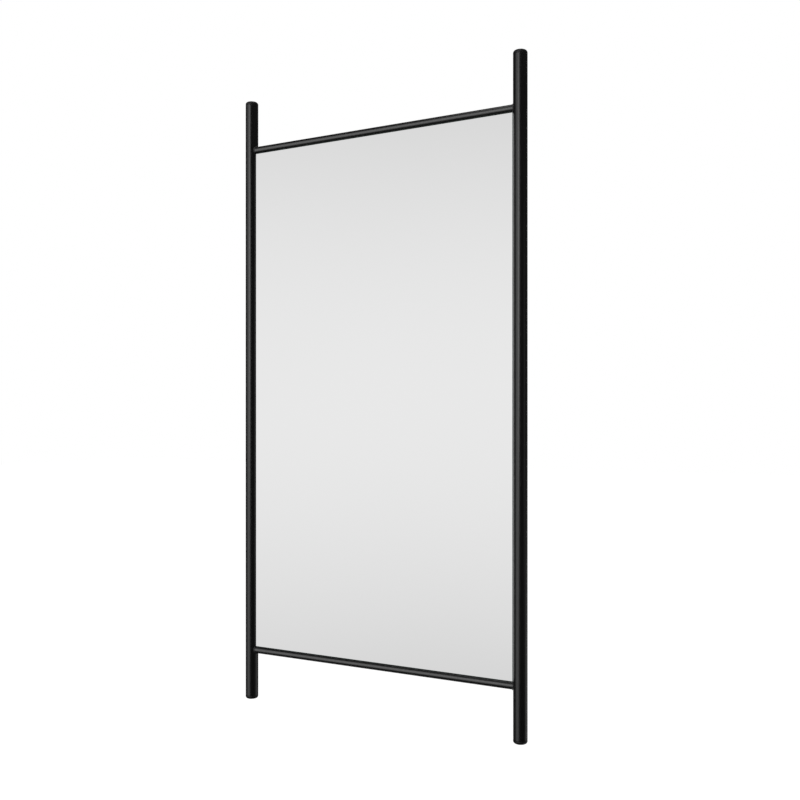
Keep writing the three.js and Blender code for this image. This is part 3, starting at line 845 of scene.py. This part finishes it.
def post_tab(side, screw):
    """A tab behind the board with a hole for its screw, and the weld bead along its root."""
    way = SIDES[side]
    low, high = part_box(f"{side}_post")
    place = middle(screw)
    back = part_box(screw)[1].y - PANEL_HEAD_HEIGHT - HOLE_PLAY
    ends = sorted((low.x if way > 0 else high.x, way * (post_x - TAB_ROOT)))
    half = TAB_HEIGHT / 2
    rim = rounded_rectangle((ends[0], place.z - half), (ends[1], place.z + half), TAB_CORNER)
    tab = flat_sheet("tab", [rim, circle((place.x, place.z), PANEL_THREAD + HOLE_PLAY)], TAB_SHEET)
    moved(tab, (0, back - TAB_SHEET / 2, 0), UPRIGHT)
    root = way * (post_x - math.sqrt(post_radius**2 - (back - post_y) ** 2))
    return tab, bead("bead", upright_path(root, back, place.z, half - TAB_BEAD), TAB_BEAD)


def upright_path(x, y, z, half):
    """Points up a tab's root, four to each ripple of its bead."""
    steps = round(4 * half / BEAD_RIPPLE_PITCH) * 2
    return [Vector((x, y, z + half * (2 * step / steps - 1))) for step in range(steps + 1)]


def post_cap(side, level):
    """A moulded cap: a plug in the tube and a flat crown with a round shoulder."""
    node = f"{side}_post_{level}_cap"
    low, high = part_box(node)
    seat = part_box(f"{side}_post")[1].z + HOLE_PLAY
    crown = max(high.z, -low.z) - seat
    depth = seat - max(low.z, -high.z)
    plug = post_radius - POST_WALL - HOLE_PLAY
    flat = post_radius - CAP_SHOULDER
    shoulder = arc((flat, crown - CAP_SHOULDER - CAP_CROWN), CAP_SHOULDER, 0, math.pi / 2)
    stem = softened([(0, -depth), (plug, -depth), (plug, 0), (post_radius, 0), shoulder[0]], TUBE_EDGE)
    cap = turned("cap", [*stem, *shoulder[1:], (flat / 2, crown - CAP_CROWN / 4), (0, crown)])
    moved(cap, (SIDES[side] * post_x, post_y, LEVELS[level] * seat), upturned(level))
    return dressed(cap, "black_plastic", node)


def on_rail(level, radius, reach, angle, side):
    """The point on a line along a rail, at an angle round it, at a given reach from a post's axis."""
    y = radius * math.cos(angle)
    x = side * (post_x - math.sqrt(reach**2 - y**2))
    return Vector((x, post_y + y, middle(f"{level}_rail").z + radius * math.sin(angle)))


def rail(level):
    """A tube whose ends are coped to the posts, with a weld bead round each end."""
    bore = rail_radius - RAIL_WALL
    reach = post_radius + HOLE_PLAY
    walls = [(rail_radius, -1), (rail_radius, 1), (bore, 1), (bore, -1)]
    bm = bmesh.new()
    loops = []
    for step in range(TURN_SIDES):
        angle = 2 * math.pi * step / TURN_SIDES
        places = [on_rail(level, radius, reach, angle, side) for radius, side in walls]
        loops.append([bm.verts.new(place) for place in places])
    for index, loop in enumerate(loops):
        band(bm, loops[index - 1], loop)
    tube = as_object("rail", bm)
    steps = round(2 * math.pi * rail_radius / BEAD_RIPPLE_PITCH) * BEAD_STEPS
    angles = [2 * math.pi * step / steps for step in range(steps)]
    beads = []
    for side in (-1, 1):
        path = [on_rail(level, rail_radius, post_radius, angle, side) for angle in angles]
        beads.append(bead("bead", path, RAIL_BEAD, closed=True))
    return dressed(joined(tube, *beads), "black_coat", f"{level}_rail", look="rail_coat")


# Slides
race = BALL_RADIUS + BALL_PLAY
outer_cage_web = OUTER_SHEET + WEB_GAP
middle_web = outer_cage_web + CAGE_SHEET + WEB_GAP
inner_cage_web = middle_web + MIDDLE_SHEET + WEB_GAP
inner_edge = inner_cage_web + CAGE_SHEET + WEB_GAP
slide_face = -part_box("upper_outer_member")[1].y
inner_face = -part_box("upper_inner_member")[0].y - slide_face
outer_ball = Vector((OUTER_SHEET + race, extent("upper_outer_member").z / 2 - OUTER_SHEET - race))
ball_step = inner_edge + INNER_LIP - outer_ball.x
ball_drop = math.sqrt((2 * race + MIDDLE_SHEET) ** 2 - ball_step**2)
inner_ball = outer_ball + Vector((ball_step, -ball_drop))


def member(node, section):
    """A bar along a slide. Its section holds (depth from the slide's face, height) points."""
    low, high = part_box(node)
    outline = [(depth + slide_face, height) for depth, height in section]
    return moved(swept("member", outline, low.x, high.x), (0, 0, middle(node).z))


def drill(screw, node, radius):
    """A tool that drills along Y where a screw stands, at the middle height of a node."""
    x, z = middle(screw).x, middle(node).z
    return rod(radius, (x, -SLIDE_DRILL, z), (x, SLIDE_DRILL, z))


def outer_member(level):
    node = f"{level}_outer_member"
    wall = race + OUTER_SHEET
    upper = [*arc(outer_ball, wall, math.pi, 0), *arc(outer_ball, race, 0, math.pi)]
    bar = member(node, mirrored(upper))
    deep = OUTER_SHEET + HOLE_PLAY
    tools = []
    for screw in slide_screws(level):
        head = extent(screw).z / 2 + HOLE_PLAY
        cone = [(0, -deep), (head - deep, -deep), (head, 0), (head, OUTER_SHEET), (0, OUTER_SHEET)]
        sunk = (middle(screw).x, -slide_face - OUTER_SHEET, middle(node).z)
        tools.append(moved(turned("sink", cone, HOLE_SIDES), sunk, UPRIGHT))
        tools.append(drill(screw, node, MACHINE_HOLE))
    return dressed(carved(bar, *tools), "zinc", node)


def slide_screws(level):
    return numbered(f"{level}_slide_screw", SLIDE_SCREWS)


def access_holes(level, node):
    """Tools for the holes through which a driver reaches the slide screws."""
    return [drill(screw, node, ACCESS_RADIUS) for screw in slide_screws(level)]


def middle_member(level):
    node = f"{level}_middle_member"
    start = -math.acos((middle_web - outer_ball.x) / race)
    meet = math.atan2(-ball_drop, ball_step)
    web = math.acos((middle_web + MIDDLE_SHEET - inner_ball.x) / race)
    upper = [
        *arc(outer_ball, race, start, meet),
        *arc(inner_ball, race + MIDDLE_SHEET, meet + math.pi, ROOF_END)[1:],
        *arc(inner_ball, race, ROOF_END, web),
    ]
    bar = member(node, mirrored(upper))
    return dressed(carved(bar, *access_holes(level, node)), "zinc", node)


def inner_member(level):
    node = f"{level}_inner_member"
    wall = race + INNER_SHEET
    edge = inner_edge - inner_ball.x
    top = inner_ball.y + race * math.sin(CRADLE_END)
    bend = math.asin((top - INNER_SHEET - inner_ball.y) / wall)
    upper = [
        Vector((inner_face, top)),
        *arc(inner_ball, race, CRADLE_END, -math.acos(edge / race)),
        *arc(inner_ball, wall, -math.acos(edge / wall), bend),
        Vector((inner_face - INNER_SHEET, top - INNER_SHEET)),
    ]
    bar = member(node, mirrored(upper))
    tools = access_holes(level, node)
    tools += [drill(screw, node, MACHINE_HOLE) for screw in carriage_screws(level)]
    return dressed(carved(bar, *tools), "zinc", node)


def carriage_screws(level):
    """The screws that hold the carrier and the tie bar to an inner member."""
    return [*numbered(f"{level}_carrier_screw", CARRIER_SCREWS), f"{level}_tie_bar_screw"]


def ball_cage(node, web, ball):
    """A bent strip with a pocket for each ball, and its balls."""
    low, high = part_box(node)
    height = middle(node).z
    top = ball.y - CAGE_DROP
    edge = -low.y - slide_face
    upper = [(web, top), (edge, top), (edge, top - CAGE_SHEET), (web + CAGE_SHEET, top - CAGE_SHEET)]
    strip = member(node, softened(mirrored(upper), CAGE_SHEET / 3, closed=True))
    turns = [math.pi * (step / ARC_STEPS - 1 / 2) for step in range(1, ARC_STEPS)]
    bow = [(BALL_RADIUS * math.cos(turn), BALL_RADIUS * math.sin(turn)) for turn in turns]
    bow = [(0, -BALL_RADIUS), *bow, (0, BALL_RADIUS)]
    balls, pockets = [], []
    pitch = (high.x - low.x) / BALLS_PER_ROW
    for index in range(BALLS_PER_ROW):
        x = low.x + (index + 1 / 2) * pitch
        for side in (-1, 1):
            place = Vector((x, -slide_face - ball.x, height + side * ball.y))
            lift = Vector((0, 0, side * 2 * BALL_RADIUS))
            balls.append(moved(turned("ball", bow, HOLE_SIDES // 2), place))
            pockets.append(rod(BALL_RADIUS + POCKET_PLAY, place - lift, place + lift, HOLE_SIDES // 2))
    strip = carved(strip, joined(*pockets))
    return dressed(joined(strip, *balls), "bearing_steel", node)


# Sheet metal of the carriage and the plate
tie_bar_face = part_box("rear_tie_bar")[0].y  # the side towards the mirror


def pairs(*columns, height):
    return [(side * x, end * height) for x in columns for side in (-1, 1) for end in (-1, 1)]


def mounting_plate():
    """A plate with two windows and folded edges, drilled for the closet's screws and the slides'."""
    node = "mounting_plate"
    low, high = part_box(node)
    line = high.z - BEND_RADIUS - PLATE_SHEET
    flange = line + bend_length(PLATE_SHEET) - low.y - PLATE_SHEET - BEND_RADIUS
    end = high.x - PLATE_CORNER
    quarter = [
        *arc((end, line - PLATE_CORNER), PLATE_CORNER, 0, math.pi / 2, 2 * EDGE_STEPS),
        *arc((end - FLANGE_CORNER, flange - FLANGE_CORNER), FLANGE_CORNER, 0, math.pi / 2, EDGE_STEPS),
    ]
    outlines = [mirrored([*quarter, *[(-x, y) for x, y in reversed(quarter)]])]
    for side in (-1, 1):
        near, far = sorted((side * WINDOW_NEAR, side * WINDOW_FAR))
        low_corner, high_corner = (near, -WINDOW_HALF_HEIGHT), (far, WINDOW_HALF_HEIGHT)
        outlines.append(rounded_rectangle(low_corner, high_corner, WINDOW_CORNER))
    fixings = pairs(FIXING_NEAR, FIXING_FAR, height=FIXING_HALF_PITCH)
    outlines += [circle(place, FIXING_RADIUS) for place in fixings]
    holes = pairs(middle("upper_slide_screw_2").x, height=middle("upper_outer_member").z)
    outlines += [circle(place, MACHINE_HOLE) for place in holes]
    plate = folded(flat_sheet("plate", outlines, PLATE_SHEET), line, PLATE_SHEET)
    return fitting(moved(plate, (0, -PLATE_SHEET / 2, 0), UPRIGHT), node)


def bend_length(thickness):
    return (BEND_RADIUS + thickness / 2) * math.pi / 2


def pivot_carrier():
    """A pressed plate with a long slot and two folded lugs that hold the swivel's pins."""
    node = "pivot_carrier"
    low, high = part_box(node)
    barrel = middle("swivel_barrel")
    face = -tie_bar_face
    front = barrel.x - LUG_RADIUS
    line = high.z - BEND_RADIUS - CARRIER_SHEET
    eye = Vector((barrel.x, line + bend_length(CARRIER_SHEET) - barrel.y - face - BEND_RADIUS))
    fold_front = Vector((front, line))
    fold_rear = Vector((front - LUG_RUN, line))
    lug = (tangent(eye, fold_front, 1), tangent(eye, fold_rear, -1) + 2 * math.pi)
    rear = [fold_rear + Vector((0, BEND_RADIUS)), fold_rear, Vector((low.x, line)), Vector((low.x, 0))]
    rim = [fold_front, *arc(eye, LUG_RADIUS, *lug), *softened(rear, LUG_CORNER)[:-1]]
    centre = (low.x + front) / 2
    wide, tall = CARRIER_SLOT_WIDTH / 2, CARRIER_SLOT_HEIGHT / 2
    slot = rounded_rectangle((centre - wide, -tall), (centre + wide, tall), wide)
    holes = [circle((eye.x, side * eye.y), PIN_RADIUS + BUSH_WALL + 2 * HOLE_PLAY) for side in (-1, 1)]
    for level in LEVELS:
        places = [middle(screw) for screw in numbered(f"{level}_carrier_screw", CARRIER_SCREWS)]
        holes += [circle((place.x, place.z), MACHINE_HOLE) for place in places]
    outlines = [mirrored(rim), slot, *holes]
    plate = folded(flat_sheet("carrier", outlines, CARRIER_SHEET), line, CARRIER_SHEET)
    return fitting(moved(plate, (0, CARRIER_SHEET / 2 - face, 0), UPRIGHT), node)


def tangent(centre, point, side):
    """The angle at which a line from a point touches a lug's eye."""
    away = point - centre
    return math.atan2(away.y, away.x) + side * math.acos(LUG_RADIUS / away.length)


def rear_tie_bar():
    node = "rear_tie_bar"
    low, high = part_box(node)
    centre = (low + high) / 2
    rim = rounded_rectangle((low.x, low.z), (high.x, high.z), (high.x - low.x) / 2)
    kinds = ("tie_bar_screw", "rubber_buffer")
    heights = [middle(f"{level}_{kind}").z for level in LEVELS for kind in kinds]
    holes = [circle((centre.x, height), MACHINE_HOLE) for height in [0, *heights]]
    bar = flat_sheet("tie", [rim, *holes], CARRIER_SHEET)
    return fitting(moved(bar, (0, centre.y, 0), UPRIGHT), node)


# Swivel
def swivel_barrel():
    node = "swivel_barrel"
    low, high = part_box(node)
    radius = (high.x - low.x) / 2
    bore = PIN_RADIUS + HOLE_PLAY
    wall = [(bore, low.z), (radius, low.z), (radius, high.z), (bore, high.z)]
    tube = turned("barrel", softened(wall, BARREL_EDGE, closed=True))
    return fitting(moved(tube, middle(node)), node)


def turned_about_z(kind, level, profile, slot):
    """A turned piece whose profile is written for the upper level and turned over for the lower one."""
    node = f"{level}_{kind}"
    place = middle(node)
    return dressed(moved(turned(kind, profile), (place.x, place.y, 0), upturned(level)), slot, node)


def pivot_pin(level):
    low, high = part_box("upper_pivot_pin")
    head = (high.x - low.x) / 2
    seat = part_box("pivot_carrier")[1].z + HOLE_PLAY
    shaft = [(0, low.z), (PIN_RADIUS, low.z), (PIN_RADIUS, seat), (head, seat)]
    crown = [(head, seat), (head, high.z), (0, high.z)]
    profile = [*softened(shaft, TURNED_EDGE)[:-1], *softened(crown, PIN_CROWN)]
    return turned_about_z("pivot_pin", level, profile, "zinc")


def swivel_bush(level):
    low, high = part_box("upper_swivel_bush")
    bore = PIN_RADIUS + HOLE_PLAY
    outside = bore + BUSH_WALL
    flange = (high.x - low.x) / 2
    collar = low.z + BUSH_FLANGE
    rim = [(bore, low.z), (flange, low.z), (flange, collar)]
    sleeve = [(outside, collar), (outside, high.z), (bore, high.z)]
    profile = softened([*rim, *sleeve], TURNED_EDGE / 2, closed=True)
    return turned_about_z("swivel_bush", level, profile, "acetal")


def post_saddle(level):
    """A ring round the barrel with a wing that wraps the back of the leading post."""
    node = f"{level}_post_saddle"
    low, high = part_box(node)
    barrel = middle("swivel_barrel")
    barrel_radius = extent("swivel_barrel").x / 2
    axis = (post_x, post_y)
    wing = [
        *arc(axis, post_radius + HOLE_PLAY + SADDLE_WALL, SADDLE_START, SADDLE_STOP),
        *arc(axis, post_radius + HOLE_PLAY, SADDLE_STOP, SADDLE_START),
    ]
    ring = circle((barrel.x, barrel.y), barrel_radius + HOLE_PLAY + SADDLE_RING, TURN_SIDES)
    forms = [prism("saddle", outline, low.z, high.z) for outline in (ring, wing)]
    body = carved(*forms, operation="UNION")
    tall = Vector((0, 0, high.z - low.z))
    centre = (low.z + high.z) / 2
    tools = []
    for (x, y), radius in ((barrel.xy, barrel_radius), (axis, post_radius)):
        place = Vector((x, y, centre))
        tools.append(rod(radius + HOLE_PLAY, place - tall, place + tall, TURN_SIDES))
    tools += [rod(MACHINE_HOLE, *saddle_screw_line(number)) for number in SADDLE_SCREWS[level]]
    return fitting(edged(carved(body, *tools), SHEET_EDGE), node)


def saddle_screw_line(number):
    """A line from the post's axis out through a saddle screw."""
    screw = middle(f"saddle_screw_{number}")
    axis = Vector((post_x, post_y, screw.z))
    return axis, axis + (screw - axis) * 2


# Catch
def facing_mirror(obj, y, slot, node):
    """Lays a turned piece along Y in its node's place, with its top towards the mirror."""
    place = middle(node)
    return dressed(moved(obj, (place.x, y, place.z), UPRIGHT), slot, node)


def catch_standoff():
    node = "catch_standoff"
    low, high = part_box(node)
    seat = tie_bar_face - HOLE_PLAY
    half = (high.z - low.z) / 2
    top, bottom = seat - low.y, seat - high.y
    pillar = [(0, 0), (half, 0), (half, top), (0, top)]
    stud = [(0, bottom), (STUD_RADIUS, bottom), (STUD_RADIUS, TURNED_EDGE), (0, TURNED_EDGE)]
    body = turned("standoff", softened(pillar, BARREL_EDGE), HEXAGON)
    joined(body, turned("stud", softened(stud, TURNED_EDGE), HOLE_SIDES))
    return facing_mirror(body, seat, "zinc", node)


def catch_magnet():
    node = "catch_magnet"
    low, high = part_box(node)
    radius = (high.x - low.x) / 2
    height = high.y - low.y
    cup = radius - MAGNET_RIM
    face = height - MAGNET_RECESS
    profile = [(0, 0), (radius, 0), (radius, height), (cup, height), (cup, face), (0, face)]
    return facing_mirror(turned("magnet", softened(profile, TURNED_EDGE)), high.y, "magnet", node)


def rubber_buffer(level):
    """A moulded foot with a waisted side and a stud pressed into the tie bar."""
    node = f"{level}_rubber_buffer"
    low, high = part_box(node)
    seat = tie_bar_face - HOLE_PLAY
    length = seat - low.y
    radius = (high.x - low.x) / 2
    profile = [
        (0, seat - high.y),
        (STUD_RADIUS, seat - high.y),
        (STUD_RADIUS, 0),
        (radius, 0),
        (radius, BUFFER_RIM),
        (BUFFER_TIP, length - BUFFER_RIM),
        (BUFFER_TIP / 2, length),
        (0, length),
    ]
    return facing_mirror(turned("buffer", softened(profile, BUFFER_RIM / 2)), seat, "rubber", node)


# Screws
def threaded(obj, radius, pitch):
    """Cuts a thread into the shank below z = 0."""
    for vert in obj.data.vertices:
        if vert.co.z < -pitch / 2 and vert.co.xy.length > radius / 2:
            turn = vert.co.z / pitch - math.atan2(vert.co.y, vert.co.x) / (2 * math.pi)
            groove = abs(2 * (turn % 1) - 1) * THREAD_DEPTH_SHARE
            vert.co.xy *= 1 - groove
    return obj


def shank(radius, length, pitch):
    """The profile of a shank that ends at z = 0, with enough points for its thread."""
    steps = round(length / pitch * THREAD_STEPS)
    rise = [(radius, -length * (1 - step / steps)) for step in range(steps + 1)]
    return [(0, -length), (radius * SHANK_TIP_SHARE, -length), *rise[2:]]


def recess(head, top):
    """A tapered cross, as a driver's tip leaves it."""
    size = head * RECESS_SHARE * 2
    wing = head * RECESS_WING_SHARE * 2
    depth = top * RECESS_DEPTH_SHARE
    cross = []
    for turn in range(4):
        spin = Matrix.Rotation(turn * math.pi / 2, 2)
        cross += [spin @ Vector(point) for point in ((wing, size), (-wing, size), (-wing, wing))]
    ends = ((RECESS_FLARE_SHARE, top + depth * RECESS_ABOVE_SHARE), (RECESS_TIP_SHARE, top - depth))
    return spanned("recess", *[[(p.x * share, p.y * share, z) for p in cross] for share, z in ends])


def pan_screw(head, height, radius, length, pitch):
    rim, crown = height * HEAD_STRAIGHT_SHARE, head * HEAD_TOP_SHARE
    top = [(radius, 0), (head, 0), (head, rim), (crown, height), (0, height)]
    profile = [*shank(radius, length, pitch)[:-1], *softened(top, height / 3)]
    screw = threaded(turned("screw", profile, SCREW_SIDES), radius, pitch)
    return carved(screw, recess(head, height))


def sunk_screw(head, radius, length, pitch):
    cone = [(radius, radius - head), (head, -TURNED_EDGE), (head, 0), (0, 0)]
    stem = [(r, z) for r, z in shank(radius, length, pitch) if z < radius - head]
    screw = threaded(turned("screw", [*stem, *cone], SCREW_SIDES), radius, pitch)
    return carved(screw, recess(head, -TURNED_EDGE / 4))


def drive(master, node, seat, way, turn):
    """Puts a copy of a screw on its seat, its head pointing along way and turned by its own angle."""
    obj = link(bpy.data.objects.new(f"{node}_fine", master.data))
    face = Vector(way).to_track_quat("Z", "Y").to_matrix().to_4x4()
    obj.matrix_world = Matrix.Translation(seat) @ face @ Matrix.Rotation(turn, 4, "Z")
    return dressed(obj, "screw", node)


def drive_along_y(master, names, way, head_height, first=0):
    """Drives a screw for each node, its head pointing along Y, and takes their master away."""
    for count, node in enumerate(names, first):
        seat = middle(node)
        seat.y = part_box(node)[0 if way < 0 else 1].y - way * head_height
        drive(master, node, seat, (0, way, 0), count * SCREW_TURN)
    bpy.data.objects.remove(master)


def screws():
    """Every screw of the part, in four forms."""
    size = extent("upper_carrier_screw_1")
    pan = (size.z / 2, MACHINE_HEAD_HEIGHT, MACHINE_THREAD)
    machine = pan_screw(*pan, size.y - MACHINE_HEAD_HEIGHT, MACHINE_PITCH)
    names = [name for level in LEVELS for name in carriage_screws(level)]
    drive_along_y(machine, names, -1, MACHINE_HEAD_HEIGHT)
    size = extent("upper_slide_screw_1")
    slide = sunk_screw(size.z / 2, MACHINE_THREAD, size.y, MACHINE_PITCH)
    names = [name for level in LEVELS for name in slide_screws(level)]
    drive_along_y(slide, names, -1, 0)
    saddle = pan_screw(*pan, SADDLE_SCREW_LENGTH, MACHINE_PITCH)
    for number in ALL_SADDLE_SCREWS:
        axis, beyond = saddle_screw_line(number)
        way = (beyond - axis).normalized()
        seat = axis + way * (post_radius + SADDLE_WALL + 2 * HOLE_PLAY)
        drive(saddle, f"saddle_screw_{number}", seat, way, number * SCREW_TURN)
    bpy.data.objects.remove(saddle)
    size = extent("panel_screw_1")
    shaft = (PANEL_THREAD, size.y - PANEL_HEAD_HEIGHT, PANEL_PITCH)
    panel = pan_screw(size.z / 2, PANEL_HEAD_HEIGHT, *shaft)
    names = [name for numbers in PANEL_SCREWS.values() for name in numbered("panel_screw", numbers)]
    drive_along_y(panel, names, 1, PANEL_HEAD_HEIGHT, first=1)


def kept(node, slot, edge):
    """A node whose shape is right: it only gets its finish and soft edges."""
    obj = frame["nodes"][node]
    obj.data.materials.clear()
    obj.data.materials.append(finishes[slot])
    obj.modifiers.new("weld", "WELD").merge_threshold = MERGE
    edged(obj, edge)


for side in SIDES:
    post(side)
    for level in LEVELS:
        post_cap(side, level)
for level in LEVELS:
    rail(level)
    outer_member(level)
    middle_member(level)
    inner_member(level)
    ball_cage(f"{level}_outer_ball_cage", outer_cage_web, outer_ball)
    ball_cage(f"{level}_inner_ball_cage", inner_cage_web, inner_ball)
    pivot_pin(level)
    swivel_bush(level)
    post_saddle(level)
    rubber_buffer(level)
    kept(f"{level}_end_buffer", "rubber", BUFFER_RIM / 2)
mounting_plate()
pivot_carrier()
rear_tie_bar()
swivel_barrel()
catch_standoff()
catch_magnet()
screws()
kept("mirror_glass", "silvered_glass", MERGE)
kept("backing_board", "board", SHEET_EDGE)
kept("catch_strike_plate", "zinc", SHEET_EDGE)


# Camera
def camera():
    lens = bpy.data.cameras.new("camera")
    lens.sensor_width = SENSOR_WIDTH
    lens.lens = SENSOR_WIDTH * FOCAL_PIXELS / PICTURE_SIDE
    lens.shift_y = (HORIZON_PIXEL - PICTURE_SIDE / 2) / PICTURE_SIDE
    obj = link(bpy.data.objects.new("camera", lens))
    obj.location = CAMERA_PLACE
    obj.rotation_euler = (math.pi / 2, 0, CAMERA_AZIMUTH)
    scene.camera = obj


# Studio
def direction(azimuth, elevation=0):
    """The way to a place in the studio. Azimuths grow from in front of the glass to the right."""
    flat = math.cos(elevation)
    return (math.sin(azimuth) * flat, -math.cos(azimuth) * flat, math.sin(elevation))


def studio():
    """White to the camera, soft boxes to satin, a backdrop to the mirror and even light to the rest."""
    world = bpy.data.worlds.new("studio")
    scene.world = world
    world.use_nodes = True
    nodes = Nodes(world.node_tree)
    path = nodes.add("LightPath").outputs
    way = nodes.place("Generated")
    flat = nodes.vector("NORMALIZE", nodes.vector("MULTIPLY", way, (1, 1, 0)))
    places = nodes.parts(way)
    rise = places["Z"]
    off = nodes.scalar("SUBTRACT", rise, STUDIO_RISE)
    level = nodes.scalar("SUBTRACT", 1.0, nodes.chain("MULTIPLY", off, off, STUDIO_FALL))
    ahead = direction(PANORAMA_AZIMUTH)
    panorama = nodes.chain(
        "MULTIPLY",
        nodes.scalar("MAXIMUM", level, STUDIO_LEAST),
        nodes.glow(flat, ahead, PANORAMA_WIDTH, STUDIO_DARK, 1.0),
        nodes.ramp(rise, PANORAMA_LOW, STUDIO_DARK, 1.0),
        nodes.ramp(rise, PANORAMA_HIGH, STUDIO_DARK, 1.0),
    )
    behind = nodes.chain(
        "MULTIPLY",
        nodes.ramp(places["Y"], BACK_SIDE, 0, BACK_BRIGHT),
        nodes.glow(flat, direction(GAP_AZIMUTH), GAP_WIDTH, 1.0, 0),
        nodes.ramp(rise, BACK_LOW, 0, 1.0),
    )
    key = nodes.glow(way, direction(KEY_AZIMUTH, KEY_ELEVATION), KEY_WIDTH, 0, KEY_BRIGHT)
    side = nodes.glow(way, direction(SIDE_AZIMUTH), SIDE_WIDTH, 0, SIDE_BRIGHT)
    boxes = nodes.chain("ADD", panorama, key, side, behind)
    around = nodes.glow(flat, ahead, BACKDROP_WIDTH, BACKDROP_DIM, 1.0)
    backdrop = nodes.scalar("MULTIPLY", nodes.scalar("MAXIMUM", level, BACKDROP_LEAST), around)
    shown = nodes.mix(path["Is Singular Ray"], boxes, backdrop)
    lit = nodes.mix(path["Is Glossy Ray"], AMBIENT, shown)
    seen = nodes.scalar("MAXIMUM", path["Is Camera Ray"], path["Is Transmission Ray"])
    light = nodes.add("Background", Color=WHITE, Strength=nodes.mix(seen, lit, 1.0))
    nodes.add("OutputWorld", Surface=light.outputs[0])


def lamp(name, place, target, size, radiance):
    """A rectangular lamp that the camera doesn't see."""
    light = bpy.data.lights.new(name, "AREA")
    light.shape = "RECTANGLE"
    light.size, light.size_y = size
    light.energy = radiance * math.pi * light.size * light.size_y
    obj = link(bpy.data.objects.new(name, light))
    obj.location = place
    obj.rotation_euler = (Vector(target) - Vector(place)).to_track_quat("-Z", "Y").to_euler()
    obj.visible_camera = False
    return obj


def floor():
    """A floor that is white to the camera but for its shadows."""
    half = FLOOR_SIDE / 2
    corners = [(-half, -half), (half, -half), (half, half), (-half, half)]
    bm = bmesh.new()
    bm.faces.new([bm.verts.new((x, y, -FLOOR_DROP)) for x, y in corners])
    obj = as_object("floor", bm)
    obj.visible_glossy = False
    nodes = finish("floor")
    paint = nodes.add("BsdfDiffuse", Color=grey(FLOOR_TONE))
    shaded = nodes.add("BsdfDiffuse", Color=grey(FLOOR_SHADED_TONE))
    shine = nodes.add("Emission", Color=WHITE, Strength=FLOOR_GLOW)
    shown = nodes.add("AddShader")
    nodes.fill(shown.inputs, shaded.outputs[0], shine.outputs[0])
    seen = nodes.add("LightPath").outputs["Is Camera Ray"]
    both = nodes.add("MixShader")
    nodes.fill(both.inputs, seen, paint.outputs[0], shown.outputs[0])
    nodes.add("OutputMaterial", Surface=both.outputs[0])
    obj.data.materials.append(finishes["floor"])


camera()
studio()
key = lamp("key", KEY_PLACE, KEY_TARGET, KEY_SIZE, KEY_RADIANCE)
key.visible_glossy = False  # the studio shows its gloss
lamp("top", TOP_PLACE, (0, 0, 0), TOP_SIZE, TOP_RADIANCE)
floor()
scene.view_settings.view_transform = "Standard"
